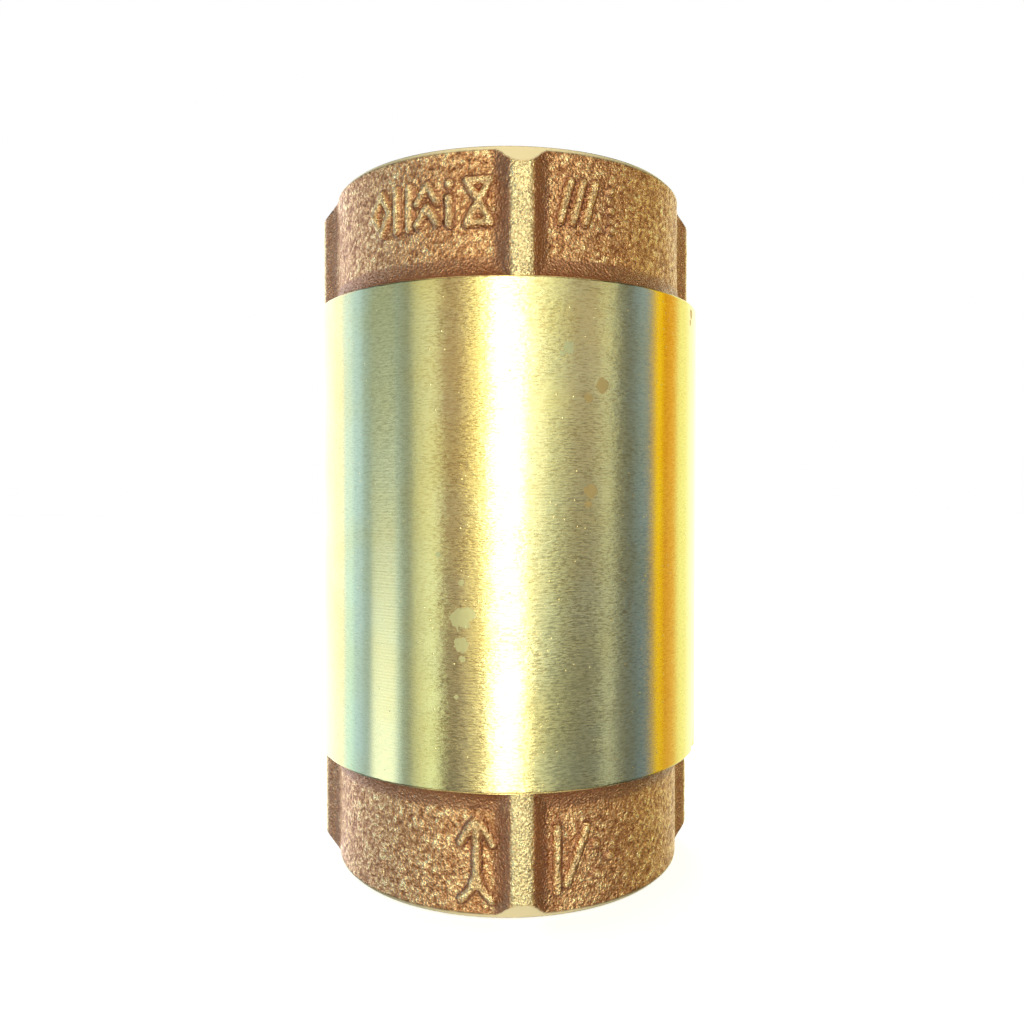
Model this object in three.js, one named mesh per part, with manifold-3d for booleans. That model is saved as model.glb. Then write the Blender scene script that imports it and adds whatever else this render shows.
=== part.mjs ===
// In-line spring check valve, 1-1/4 inch, threaded sockets at both ends.
// Millimetres, +Z up and along the flow, origin on the valve's axis at the inlet face.
import * as THREE from 'three';
import * as BufferGeometryUtils from 'three/addons/utils/BufferGeometryUtils.js';
import Module from 'manifold-3d';

const wasm = await Module();
wasm.setup();

// Outside of the valve
const totalLength = 97;
const collarLength = 16.75;
const collarRadius = 25.4;
const barrelRadius = 28.2;
const shoulderFillet = 2.5;
const faceChamfer = 0.4;
const barrelEdge = 0.25;

// Four cast ribs on each collar
const ribCount = 4;
const ribRadius = 27.6;
const ribCrown = 2.8;
const ribBase = 5.9;
const ribRoot = 23.5;
const ribFootBury = 0.1;
const coneReach = 3;

// Pipe sockets: the bore stands at the pitch line of a 1-1/4 inch taper pipe thread
const socketMouthRadius = 21.5;
const socketFaceRadius = 20.11;
const socketDepth = 18.5;
const pipeTaper = 1 / 32;

// Chamber and the joint between the two halves
const jointGap = 0.1;
const bodyBore = 24.3;
const spigotRadius = 24.0;
const spigotLead = 1.0;
const guideShoulderZ = 66;
const guideShoulderRadius = 21.6;
const outletThroat = 17.8;
const outletThroatZ = 74;
const grooveZ = 19.6;
const grooveWidth = 2.9;
const grooveRadius = 21.95;
const oringRadius = 23.15;
const oringSection = 1.05;

// Seat
const seatZ = 38;
const seatLipHeight = 1.0;
const orificeRadius = 15.6;
const seatLipRadius = 17.0;
const seatLipCrest = 0.5;

// Inlet guide in its counterbore, held by a snap ring
const inletGuideBore = 16.6;
const inletGuideZ = 24;
const inletRingHeight = 4;
const inletRingInner = 15.0;
const inletHubHeight = 5.5;
const inletHubRadius = 5.2;
const inletBushOuter = 3.8;
const inletBushInner = 2.48;
const snapGrooveZ = 22.3;
const snapGrooveWidth = 1.5;
const snapGrooveRadius = 17.4;
const snapRadius = 17.2;
const snapInner = 15.5;
const snapThickness = 1.2;
const snapOpening = 7;

// Outlet guide under the body's shoulder
const outletGuideZ = 62;
const outletGuideHeight = 3.9;
const outletGuideRadius = 24.1;
const outletRingInner = 21.6;
const outletFlangeRadius = 10.8;
const outletFlangeHeight = 2;
const outletHubRadius = 6.0;
const outletHubLow = 60.2;
const outletHubHigh = 67.6;
const outletHubRoot = 1;
const outletBushOuter = 4.8;
const outletBushInner = 3.58;
const outletBushLow = 59.2;
const outletBushHigh = 68.4;
const bushFlange = 0.9;
const legCount = 3;
const outletLegWidth = 3.4;
const inletLegWidth = 2.6;
const legSetback = 0.4;
const legOverlap = 0.7;
const bushProud = 0.2;

// Poppet: stem, holder, disc, retainer, washer and nut
const stemRadius = 3.5;
const stemThreadRadius = 3.0;
const stemPilotRadius = 2.4;
const stemLow = 17.5;
const stemPilotTop = 29.6;
const stemHigh = 69.8;
const stemTip = 0.6;
const stemCollarZ = 48.1;
const stemCollarHeight = 2.0;
const stemCollarRadius = 5.2;
const holderRadius = 19.8;
const holderCup = 19.0;
const holderLow = 39.2;
const holderFloor = 41.35;
const holderTop = 44.3;
const holderHubTop = 48.0;
const holderHubRadius = 6.6;
const holderEdge = 1.2;
const holderRoot = 1.0;
const holeRadius = 3.1;
const discRadius = 18.9;
const discThickness = 3.2;
const discSetback = 0.05;
const retainerRadius = 14.6;
const retainerThickness = 2.0;
const retainerEdge = 0.5;
const lockWasherRadius = 5.4;
const lockWasherThickness = 1.4;
const lockWasherSlot = 0.6;
const nutFlats = 10;
const nutHeight = 4.0;
const nutChamfer = 0.6;

// Closing spring between the thrust washer and the outlet guide
const springRadius = 9.0;
const springWire = 1.0;
const springActiveTurns = 5;
const springEndTurns = 1;
const springClosedPitch = 1.04;
const wireSides = 6;
const wireStepsPerTurn = 14;
const springWasherRadius = 10.6;
const springWasherInner = 7.8;
const springWasherThickness = 0.8;
const springWasherSetback = 0.1;

const coarse = 48;
const fine = 32;

const sandBronze = { color: 0x9a6a42, roughness: 0.6, metalness: 0.9 };
const turnedBronze = { color: 0xd9c27a, roughness: 0.3, metalness: 1.0 };
const stainless = { color: 0xb8bcc0, roughness: 0.28, metalness: 1.0 };
const nitrile = { color: 0x1c1d1f, roughness: 0.7, metalness: 0.0 };
const acetal = { color: 0xe6e2d6, roughness: 0.4, metalness: 0.0 };

const valve = new THREE.Group();

function addPiece(name, geometry, finish) {
  const piece = new THREE.Mesh(geometry, new THREE.MeshStandardMaterial(finish));
  piece.name = name;
  valve.add(piece);
}

// A closed outline of [radius, z] points, listed anticlockwise, turned about the valve's axis.
function turn(outline, segments) {
  const points = outline.map(([radius, z]) => new THREE.Vector2(radius, z));
  points.push(points[0].clone());
  const turned = new THREE.LatheGeometry(points, segments);
  // A lathe turns about Y, so Y is laid onto Z.
  return turned.rotateX(Math.PI / 2);
}

// A washer or plain ring.
function ring(inner, outer, low, high, segments) {
  return turn([[inner, low], [outer, low], [outer, high], [inner, high]], segments);
}

// Points of a round corner from one angle to another, in degrees.
function arc(centreRadius, centreZ, radius, from, to, steps) {
  const points = [];
  for (let i = 0; i <= steps; i += 1) {
    const angle = THREE.MathUtils.degToRad(from + ((to - from) * i) / steps);
    points.push([centreRadius + radius * Math.cos(angle), centreZ + radius * Math.sin(angle)]);
  }
  return points;
}

function toSolid(geometry) {
  const bare = geometry.clone();
  bare.deleteAttribute('normal');
  bare.deleteAttribute('uv');
  const merged = BufferGeometryUtils.mergeVertices(bare, 1e-4);
  const vertProperties = new Float32Array(merged.attributes.position.array);
  const triVerts = new Uint32Array(merged.index.array);
  return new wasm.Manifold(new wasm.Mesh({ numProp: 3, vertProperties, triVerts }));
}

function fromSolid(solid) {
  const mesh = solid.getMesh();
  const geometry = new THREE.BufferGeometry();
  geometry.setAttribute('position', new THREE.BufferAttribute(mesh.vertProperties, mesh.numProp));
  geometry.setIndex(new THREE.BufferAttribute(mesh.triVerts, 1));
  geometry.computeVertexNormals();
  return geometry;
}

// A straight bar of four-cornered section, from one z to another.
function bar(corners, low, high) {
  const section = new THREE.Shape(corners.map(([x, y]) => new THREE.Vector2(x, y)));
  const depth = high - low;
  return new THREE.ExtrudeGeometry(section, { depth, bevelEnabled: false }).translate(0, 0, low);
}

// The tapered bars that stand on one collar, cut by the cone that machines the collar's end.
function ribs(low, high, endCone) {
  const corners = [
    [ribRoot, -ribBase / 2],
    [collarRadius - ribFootBury, -ribBase / 2],
    [ribRadius, -ribCrown / 2],
    [ribRadius, ribCrown / 2],
    [collarRadius - ribFootBury, ribBase / 2],
    [ribRoot, ribBase / 2],
  ];
  let all = null;
  for (let i = 0; i < ribCount; i += 1) {
    const rib = bar(corners, low, high).rotateZ((i * 2 * Math.PI) / ribCount);
    const solid = toSolid(rib);
    all = all ? all.add(solid) : solid;
  }
  return all.intersect(endCone);
}

// The wall of a tapered pipe socket at a depth from its mouth.
function socketRadiusAt(depth) {
  return socketFaceRadius - depth * pipeTaper;
}

function makeBody() {
  const barrelLow = collarLength + jointGap;
  const barrelHigh = totalLength - collarLength;
  const fillet = arc(
    collarRadius + shoulderFillet, barrelHigh + shoulderFillet, shoulderFillet, 270, 180, 5);
  const mouthDepth = socketMouthRadius - socketFaceRadius;
  const socketBottom = totalLength - socketDepth;
  const outline = [
    [bodyBore, barrelLow],
    [barrelRadius - barrelEdge, barrelLow],
    [barrelRadius, barrelLow + barrelEdge],
    [barrelRadius, barrelHigh - barrelEdge],
    [barrelRadius - barrelEdge, barrelHigh],
    ...fillet,
    [collarRadius, totalLength - faceChamfer],
    [collarRadius - faceChamfer, totalLength],
    [socketMouthRadius, totalLength],
    [socketRadiusAt(mouthDepth), totalLength - mouthDepth],
    [socketRadiusAt(socketDepth), socketBottom],
    [outletThroat, socketBottom],
    [outletThroat, outletThroatZ],
    [guideShoulderRadius, guideShoulderZ],
    [bodyBore, guideShoulderZ],
  ];
  const coneRadius = ribRadius + coneReach;
  const endCone = toSolid(turn([
    [ribRoot - 1, barrelHigh - 1],
    [coneRadius, barrelHigh - 1],
    [coneRadius, totalLength - (coneRadius - collarRadius) - faceChamfer],
    [collarRadius - faceChamfer, totalLength],
    [ribRoot - 1, totalLength],
  ], coarse));
  const collarRibs = ribs(barrelHigh - ribFootBury, totalLength, endCone);
  addPiece('body', fromSolid(toSolid(turn(outline, coarse)).add(collarRibs)), turnedBronze);
}

function makeBodyEnd() {
  const fillet = arc(
    collarRadius + shoulderFillet, collarLength - shoulderFillet, shoulderFillet, 180, 90, 5);
  const mouthDepth = socketMouthRadius - socketFaceRadius;
  const spigotTop = seatZ - seatLipHeight;
  const outline = [
    [socketMouthRadius, 0],
    [collarRadius - faceChamfer, 0],
    [collarRadius, faceChamfer],
    ...fillet,
    [spigotRadius, collarLength],
    [spigotRadius, grooveZ],
    [grooveRadius, grooveZ],
    [grooveRadius, grooveZ + grooveWidth],
    [spigotRadius, grooveZ + grooveWidth],
    [spigotRadius, spigotTop - spigotLead],
    [spigotRadius - spigotLead, spigotTop],
    [seatLipRadius + seatLipHeight, spigotTop],
    [seatLipRadius - seatLipCrest, seatZ],
    [orificeRadius + seatLipCrest / 2, seatZ],
    [orificeRadius, seatZ - seatLipCrest],
    [orificeRadius, inletGuideZ + inletRingHeight + jointGap],
    [inletGuideBore, inletGuideZ + inletRingHeight + jointGap],
    [inletGuideBore, snapGrooveZ + snapGrooveWidth],
    [snapGrooveRadius, snapGrooveZ + snapGrooveWidth],
    [snapGrooveRadius, snapGrooveZ],
    [inletGuideBore, snapGrooveZ],
    [inletGuideBore, socketDepth],
    [socketRadiusAt(socketDepth), socketDepth],
    [socketRadiusAt(mouthDepth), mouthDepth],
  ];
  const coneRadius = ribRadius + coneReach;
  const endCone = toSolid(turn([
    [ribRoot - 1, 0],
    [collarRadius - faceChamfer, 0],
    [coneRadius, coneRadius - collarRadius + faceChamfer],
    [coneRadius, collarLength + 1],
    [ribRoot - 1, collarLength + 1],
  ], coarse));
  const collarRibs = ribs(0, collarLength, endCone);
  addPiece('body_end', fromSolid(toSolid(turn(outline, coarse)).add(collarRibs)), sandBronze);
}

function makeBodyOring() {
  const sides = 8;
  const lastAngle = 360 - 360 / sides;
  const section = arc(oringRadius, grooveZ + grooveWidth / 2, oringSection, 0, lastAngle, sides - 1);
  addPiece('body_oring', turn(section, coarse), nitrile);
}

// Legs between a hub and a rim, run a little into both, so that they join into one casting.
function legs(hub, rim, width, low, high) {
  const inner = hub - legOverlap;
  const outer = rim + legOverlap;
  const half = width / 2;
  const corners = [[inner, -half], [outer, -half], [outer, half], [inner, half]];
  let all = null;
  for (let i = 0; i < legCount; i += 1) {
    const angle = Math.PI / 2 + (i * 2 * Math.PI) / legCount;
    const solid = toSolid(bar(corners, low, high).rotateZ(angle));
    all = all ? all.add(solid) : solid;
  }
  return all;
}

function makeInletGuide() {
  const ringTop = inletGuideZ + inletRingHeight;
  const hubTop = inletGuideZ + inletHubHeight;
  const rim = toSolid(ring(inletRingInner, inletGuideBore - jointGap, inletGuideZ, ringTop, coarse));
  const hub = toSolid(ring(inletBushOuter + jointGap, inletHubRadius, inletGuideZ, hubTop, fine));
  const legLow = inletGuideZ + legSetback;
  const arms = legs(inletHubRadius, inletRingInner, inletLegWidth, legLow, ringTop - legSetback);
  addPiece('inlet_guide', fromSolid(rim.add(hub).add(arms)), turnedBronze);
  const bushLow = inletGuideZ - bushProud;
  const bush = ring(inletBushInner, inletBushOuter, bushLow, hubTop + bushProud, fine);
  addPiece('inlet_bush', bush, acetal);
}

// A ring with a slot cut through it on the +X side.
function slottedRing(inner, outer, low, high, slot, segments) {
  const whole = toSolid(ring(inner, outer, low, high, segments));
  const reach = outer + 1;
  const half = slot / 2;
  const cutter = bar([[0, -half], [reach, -half], [reach, half], [0, half]], low - 1, high + 1);
  return fromSolid(whole.subtract(toSolid(cutter)));
}

function makeInletRing() {
  const low = snapGrooveZ + (snapGrooveWidth - snapThickness) / 2;
  const snap = slottedRing(snapInner, snapRadius, low, low + snapThickness, snapOpening, coarse);
  addPiece('inlet_ring', snap, stainless);
}

function makeOutletGuide() {
  const rimTop = outletGuideZ + outletGuideHeight;
  const rim = toSolid(ring(outletRingInner, outletGuideRadius, outletGuideZ, rimTop, coarse));
  const hub = toSolid(turn([
    [outletBushOuter + jointGap, outletHubLow],
    [outletHubRadius, outletHubLow],
    [outletHubRadius, outletGuideZ],
    [outletFlangeRadius, outletGuideZ],
    [outletFlangeRadius, outletGuideZ + outletFlangeHeight],
    [outletHubRadius, outletGuideZ + outletFlangeHeight + outletHubRoot],
    [outletHubRadius, outletHubHigh],
    [outletBushOuter + jointGap, outletHubHigh],
  ], fine));
  const legTop = rimTop - legSetback;
  const arms = legs(outletHubRadius, outletRingInner, outletLegWidth, outletGuideZ, legTop);
  addPiece('outlet_guide', fromSolid(rim.add(hub).add(arms)), turnedBronze);
  const bush = turn([
    [outletBushInner, outletBushLow],
    [outletBushOuter + bushFlange, outletBushLow],
    [outletBushOuter + bushFlange, outletHubLow - jointGap],
    [outletBushOuter, outletHubLow - jointGap],
    [outletBushOuter, outletBushHigh],
    [outletBushInner, outletBushHigh],
  ], fine);
  addPiece('outlet_bush', bush, acetal);
}

function makeStem() {
  const outline = [
    [0, stemLow],
    [stemPilotRadius - stemTip, stemLow],
    [stemPilotRadius, stemLow + stemTip],
    [stemPilotRadius, stemPilotTop],
    [stemThreadRadius, stemPilotTop + stemTip],
    [stemThreadRadius, stemCollarZ],
    [stemCollarRadius, stemCollarZ],
    [stemCollarRadius, stemCollarZ + stemCollarHeight],
    [stemRadius, stemCollarZ + stemCollarHeight],
    [stemRadius, stemHigh - stemTip],
    [stemRadius - stemTip, stemHigh],
    [0, stemHigh],
  ];
  addPiece('stem', turn(outline, fine), stainless);
}

function makeDiscHolder() {
  const outline = [
    [holeRadius, holderFloor],
    [holderCup, holderFloor],
    [holderCup, holderLow],
    [holderRadius, holderLow],
    [holderRadius, holderTop - holderEdge],
    [holderRadius - holderEdge, holderTop],
    [holderHubRadius + holderRoot, holderTop],
    [holderHubRadius, holderTop + holderRoot],
    [holderHubRadius, holderHubTop],
    [holeRadius, holderHubTop],
  ];
  addPiece('disc_holder', turn(outline, coarse), turnedBronze);
}

function makeSeatDisc() {
  const low = seatZ + discSetback;
  addPiece('seat_disc', ring(holeRadius, discRadius, low, low + discThickness, coarse), nitrile);
}

function makeDiscRetainer() {
  const high = seatZ - jointGap / 2;
  const low = high - retainerThickness;
  const outline = [
    [holeRadius, low],
    [retainerRadius - retainerEdge, low],
    [retainerRadius, low + retainerEdge],
    [retainerRadius, high],
    [holeRadius, high],
  ];
  addPiece('disc_retainer', turn(outline, coarse), stainless);
}

function makeLockWasher() {
  const high = seatZ - jointGap - retainerThickness - jointGap / 2;
  const low = high - lockWasherThickness;
  const washer = slottedRing(holeRadius, lockWasherRadius, low, high, lockWasherSlot, fine);
  addPiece('lock_washer', washer, stainless);
}

function makeStemNut() {
  const high = seatZ - 2 * jointGap - retainerThickness - lockWasherThickness;
  const low = high - nutHeight;
  const corner = nutFlats / Math.sqrt(3);
  const hexagon = new THREE.Shape();
  for (let i = 0; i < 6; i += 1) {
    const angle = (i * Math.PI) / 3;
    hexagon.lineTo(corner * Math.cos(angle), corner * Math.sin(angle));
  }
  hexagon.closePath();
  const prism = new THREE.ExtrudeGeometry(hexagon, { depth: nutHeight, bevelEnabled: false });
  const chamfered = toSolid(turn([
    [holeRadius, low],
    [corner - nutChamfer, low],
    [corner + nutChamfer, low + 2 * nutChamfer],
    [corner + nutChamfer, high - 2 * nutChamfer],
    [corner - nutChamfer, high],
    [holeRadius, high],
  ], fine));
  const nut = toSolid(prism.translate(0, 0, low)).intersect(chamfered);
  addPiece('stem_nut', fromSolid(nut), stainless);
}

// The wire's centre line: closed end turns a wire's thickness apart, open turns between them.
class SpringLine extends THREE.Curve {
  constructor(low, high) {
    super();
    this.low = low;
    this.high = high;
  }

  getPoint(t, target = new THREE.Vector3()) {
    const turns = springActiveTurns + 2 * springEndTurns;
    const openRise = this.high - this.low - 2 * springEndTurns * springClosedPitch;
    const turnsDone = t * turns;
    const openDone = THREE.MathUtils.clamp(turnsDone - springEndTurns, 0, springActiveTurns);
    const closedDone = turnsDone - openDone;
    const z = this.low + closedDone * springClosedPitch + (openDone * openRise) / springActiveTurns;
    const angle = 2 * Math.PI * turnsDone;
    return target.set(springRadius * Math.cos(angle), springRadius * Math.sin(angle), z);
  }
}

function makeSpring() {
  const washerLow = holderTop + springWasherSetback;
  const washerHigh = washerLow + springWasherThickness;
  const washer = ring(springWasherInner, springWasherRadius, washerLow, washerHigh, fine);
  addPiece('spring_washer', washer, stainless);
  const low = washerHigh + jointGap + springWire / 2;
  const high = outletGuideZ - jointGap - springWire / 2;
  const section = new THREE.Shape();
  for (let i = 0; i < wireSides; i += 1) {
    const angle = (i * 2 * Math.PI) / wireSides;
    section.lineTo((springWire / 2) * Math.cos(angle), (springWire / 2) * Math.sin(angle));
  }
  section.closePath();
  const turns = springActiveTurns + 2 * springEndTurns;
  const wire = new THREE.ExtrudeGeometry(section, {
    steps: turns * wireStepsPerTurn,
    bevelEnabled: false,
    extrudePath: new SpringLine(low, high),
  });
  addPiece('spring', wire, stainless);
}

makeBody();
makeBodyEnd();
makeBodyOring();
makeInletGuide();
makeInletRing();
makeOutletGuide();
makeStem();
makeDiscHolder();
makeSeatDisc();
makeDiscRetainer();
makeLockWasher();
makeStemNut();
makeSpring();

export default valve;
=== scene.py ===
import math

import bmesh
import bpy
import numpy as np
from mathutils import Matrix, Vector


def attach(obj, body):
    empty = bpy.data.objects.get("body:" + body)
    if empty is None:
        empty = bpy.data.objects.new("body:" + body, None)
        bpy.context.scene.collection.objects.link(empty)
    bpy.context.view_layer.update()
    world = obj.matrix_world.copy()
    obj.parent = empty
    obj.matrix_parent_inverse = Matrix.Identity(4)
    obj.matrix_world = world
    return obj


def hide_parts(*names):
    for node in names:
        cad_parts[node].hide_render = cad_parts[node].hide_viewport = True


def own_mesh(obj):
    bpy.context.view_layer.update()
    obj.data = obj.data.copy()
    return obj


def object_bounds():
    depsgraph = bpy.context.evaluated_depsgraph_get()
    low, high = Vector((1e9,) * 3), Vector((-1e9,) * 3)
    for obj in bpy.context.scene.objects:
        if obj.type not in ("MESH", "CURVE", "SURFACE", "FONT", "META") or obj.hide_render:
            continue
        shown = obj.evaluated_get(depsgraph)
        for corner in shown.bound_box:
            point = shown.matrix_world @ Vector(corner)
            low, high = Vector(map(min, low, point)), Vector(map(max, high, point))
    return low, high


# In-line spring check valve, 1-1/4 inch: sand-cast bronze, turned barrel, stainless and acetal inside.
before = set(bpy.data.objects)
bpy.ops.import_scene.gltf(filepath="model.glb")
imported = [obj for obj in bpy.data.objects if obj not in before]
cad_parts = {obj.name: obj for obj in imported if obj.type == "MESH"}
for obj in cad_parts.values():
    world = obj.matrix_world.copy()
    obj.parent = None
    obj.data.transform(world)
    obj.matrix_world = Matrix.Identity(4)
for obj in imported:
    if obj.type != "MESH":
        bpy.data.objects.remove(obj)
cadLow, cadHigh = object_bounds()
mm = 0.001  # sizes below are in millimetres, like the drawing
print("frame loaded")


def hexColour(code):  # sRGB hex to linear
    parts = [int(code[i:i + 2], 16) / 255 for i in (1, 3, 5)]
    linear = [c / 12.92 if c <= 0.04045 else ((c + 0.055) / 1.055) ** 2.4 for c in parts]
    return (*linear, 1.0)


def addNode(tree, kind, *inputs, stops=(), **settings):
    # inputs are numbers, sockets or nodes, in the sockets' order or in one dictionary by socket name
    node = tree.nodes.new(kind)
    for label, value in settings.items():
        setattr(node, label, value)
    given = inputs[0] if inputs and isinstance(inputs[0], dict) else dict(enumerate(inputs))
    for key, value in given.items():
        if isinstance(value, bpy.types.Node):
            value = value.outputs[0]
        if isinstance(value, bpy.types.NodeSocket):
            tree.links.new(value, node.inputs[key])
        else:
            node.inputs[key].default_value = value
    for i, (place, colour) in enumerate(stops):  # a colour ramp starts with two stops
        elements = node.color_ramp.elements
        element = elements[i] if i < 2 else elements.new(place)
        element.position, element.color = place, colour
    return node


def newMaterial(name):
    material = bpy.data.materials.new(name)
    material.use_nodes = True
    material.node_tree.nodes.clear()
    return material, material.node_tree, addNode(material.node_tree, "ShaderNodeTexCoord").outputs["Object"]


# Camera, level with the middle of the barrel and a hand's breadth in front of it
cameraPlace = {"distance": 135.0, "height": 53.6, "sideways": 0.65, "turn": 4.0, "tilt": 1.14, "lens": 30.86}


def makeCamera(place):
    turn = math.radians(place["turn"])
    data = bpy.data.cameras.new("camera")
    data.lens = place["lens"]
    data.clip_start = 0.005
    camera = bpy.data.objects.new("camera", data)
    camera.location = (
        (place["sideways"] * math.cos(turn) - place["distance"] * math.sin(turn)) * mm,
        (-place["sideways"] * math.sin(turn) - place["distance"] * math.cos(turn)) * mm,
        place["height"] * mm,
    )
    camera.rotation_euler = (math.radians(90 - place["tilt"]), 0, -turn)
    bpy.context.scene.collection.objects.link(camera)
    bpy.context.scene.camera = camera


makeCamera(cameraPlace)

# Studio: tall cards stand round the valve, each from one bearing to the next.
# A bearing is in degrees from the camera's side, clockwise seen from below.
# Each card has a colour and a brightness for its upper and its lower half.
studioCards = [
    (-180, "#f2f6ff", 2.2, "#f2f6ff", 2.2),
    (-124, "#dfecff", 2.0, "#dfecff", 2.0),
    (-112, "#a8ccff", 2.3, "#a0d0ff", 2.4),
    (-102, "#98c0ff", 2.0, "#95bcff", 2.0),
    (-93, "#a2c6f2", 1.2, "#a2c8ff", 1.4),
    (-86, "#c0e1ff", 0.72, "#c8e0ff", 3.0),
    (-67, "#a8ccff", 0.95, "#94c4ff", 2.1),
    (-64, "#c7e3ff", 0.66, "#c7e3ff", 0.72),
    (-56, "#ecffff", 1.02, "#e6ffff", 1.3),
    (-48, "#f2fffc", 1.15, "#d2f5ff", 2.1),
    (-39, "#fff0ee", 0.68, "#cadeff", 0.4),
    (-26, "#fffbf0", 1.2, "#dce4ff", 0.68),
    (-20, "#fcffe0", 2.1, "#f4fbff", 0.72),
    (-9.5, "#ffffff", 7.0, "#ffffff", 5.8),
    (9, "#e4f1ff", 3.0, "#e2f8ff", 1.3),
    (20, "#ecfff6", 2.0, "#c2deff", 0.92),
    (27, "#eefcff", 1.42, "#bedaff", 0.62),
    (36, "#f4f6ff", 0.9, "#b8d4ff", 0.5),
    (56.5, "#ecfdff", 1.4, "#d2e9ff", 1.05),
    (63.5, "#cfe4ff", 0.6, "#b8cdf0", 0.52),
    (72, "#bcd2ff", 0.44, "#b8cdf0", 0.45),
    (80, "#9abeff", 1.1, "#8cb4ff", 0.72),
    (93.5, "#ffd76a", 0.78, "#ffd75a", 0.74),
    (97, "#ffee27", 1.5, "#ffee27", 1.35),
    (102, "#ffc02a", 0.76, "#ffc04a", 0.7),
    (107, "#ffc840", 1.0, "#ffd06a", 0.98),
    (119, "#f2ffbf", 1.35, "#f2ffbf", 1.35),
    (136, "#f6ffe6", 1.5, "#f6ffe6", 1.5),
    (168, "#f2f6ff", 2.2, "#f2f6ff", 2.2),
]
# the cards end above and below at a dark gap; past it, straight up and down, it is bright again
studioLight = {
    "softEdge": 1.2, "split": {"left": (-0.24, 0.0), "right": (-0.08, 0.16)}, "cardEnd": (0.42, 0.62),
    "gap": 0.07, "lidStart": (0.84, 0.92), "lid": 1.3, "lidColour": "#fff9f0", "backdrop": "#ffffff"}


def cardStops(cards, half, brightest, softEdge):  # one half's colours, as the stops of a ramp round the valve
    stops = []
    for card in cards:
        start = (card[0] - cameraPlace["turn"] + 180) / 360
        level = card[half + 1] / brightest
        colour = tuple(c * level for c in hexColour(card[half])[:3]) + (1.0,)
        if stops:
            stops.append((max(start - softEdge / 720, 0), stops[-1][1]))
        stops.append((min(max(start + softEdge / 720, 0), 1), colour))
    return stops


def makeStudio(cards, light):
    world = bpy.data.worlds.new("studio")
    bpy.context.scene.world = world
    world.use_nodes = True
    tree = world.node_tree
    tree.nodes.clear()
    brightest = max(max(card[2], card[4]) for card in cards)
    direction = addNode(tree, "ShaderNodeTexCoord").outputs["Generated"]
    parts = addNode(tree, "ShaderNodeSeparateXYZ", direction)
    back = addNode(tree, "ShaderNodeMath", parts.outputs["Y"], -1, operation="MULTIPLY")
    bearing = addNode(tree, "ShaderNodeMath", parts.outputs["X"], back, operation="ARCTAN2")
    place = addNode(tree, "ShaderNodeMapRange", bearing, -math.pi, math.pi)
    # a ramp holds 32 stops, so each half takes two ramps that meet in front
    middle = 0.5
    isRight = addNode(tree, "ShaderNodeMath", place, middle, operation="GREATER_THAN")
    halves = []
    for half in (1, 3):
        stops = cardStops(cards, half, brightest, light["softEdge"])
        left = addNode(tree, "ShaderNodeValToRGB", place, stops=[s for s in stops if s[0] < middle])
        right = addNode(tree, "ShaderNodeValToRGB", place, stops=[s for s in stops if s[0] >= middle])
        halves.append(addNode(tree, "ShaderNodeMixRGB", isRight, left, right))
    low, high = [
        addNode(tree, "ShaderNodeMapRange", {"Value": isRight, "To Min": left, "To Max": right})
        for left, right in zip(light["split"]["left"], light["split"]["right"])]
    split = addNode(
        tree, "ShaderNodeMapRange", parts.outputs["Z"], low, high, interpolation_type="SMOOTHSTEP")
    colour = addNode(tree, "ShaderNodeMixRGB", split, halves[1], halves[0])
    steep = addNode(tree, "ShaderNodeMath", parts.outputs["Z"], operation="ABSOLUTE")
    dim = addNode(
        tree, "ShaderNodeMapRange", steep, *light["cardEnd"], 1, light["gap"], interpolation_type="SMOOTHSTEP")
    level = addNode(tree, "ShaderNodeMath", dim, brightest, operation="MULTIPLY")
    isLid = addNode(tree, "ShaderNodeMapRange", steep, *light["lidStart"], interpolation_type="SMOOTHSTEP")
    studio = addNode(
        tree, "ShaderNodeMixShader", isLid, addNode(tree, "ShaderNodeBackground", colour, level),
        addNode(tree, "ShaderNodeBackground", hexColour(light["lidColour"]), light["lid"]))
    backdrop = addNode(tree, "ShaderNodeBackground", hexColour(light["backdrop"]), 1.0)
    seen = addNode(tree, "ShaderNodeLightPath").outputs["Is Camera Ray"]
    addNode(tree, "ShaderNodeOutputWorld", addNode(tree, "ShaderNodeMixShader", seen, studio, backdrop))


def makeFloor():
    material, tree, _ = newMaterial("paleFloor")
    shader = addNode(tree, "ShaderNodeBsdfPrincipled", {
        "Base Color": hexColour("#f4f4f2"), "Roughness": 0.9, "Emission Color": hexColour("#ffffff"),
        "Emission Strength": 0.55})
    # clear from underneath, so that the inlet shows in a view from below
    under = addNode(tree, "ShaderNodeNewGeometry").outputs["Backfacing"]
    clear = addNode(tree, "ShaderNodeBsdfTransparent")
    addNode(tree, "ShaderNodeOutputMaterial", addNode(tree, "ShaderNodeMixShader", under, shader, clear))
    half, drop = 2.0, -0.2 * mm
    data = bpy.data.meshes.new("floor")
    corners = [(-half, -half, drop), (half, -half, drop), (half, half, drop), (-half, half, drop)]
    data.from_pydata(corners, [], [(0, 1, 2, 3)])
    data.materials.append(material)
    floor = bpy.data.objects.new("floor", data)
    floor.visible_glossy = False  # the pale floor stays out of the metal
    floor.visible_diffuse = False
    bpy.context.scene.collection.objects.link(floor)


makeStudio(studioCards, studioLight)
makeFloor()
bpy.context.scene.view_settings.view_transform = "Standard"
print("studio ready")


# Bronze as it leaves the sand: brown grains, golden tops partly worn and partly painted highlight, painted shade
# in every corner
# hollow to worn colour the grain from its hollows to its tops; worn is partly wear and partly painted highlight;
# corner is painted shade; outline is painted shadow round the marks
castLook = {
    "hollow": "#935e37", "skin": "#b67c4c", "light": "#e4ae72", "worn": "#ffe6a0", "corner": "#ae7a54",
    "outline": "#66402a", "machined": "#f7e6ae", "grain": 0.3, "pebble": 0.36, "grainBump": 0.26,
    "pebbleBump": 0.1, "roughness": (0.42, 0.22),
}


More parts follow.
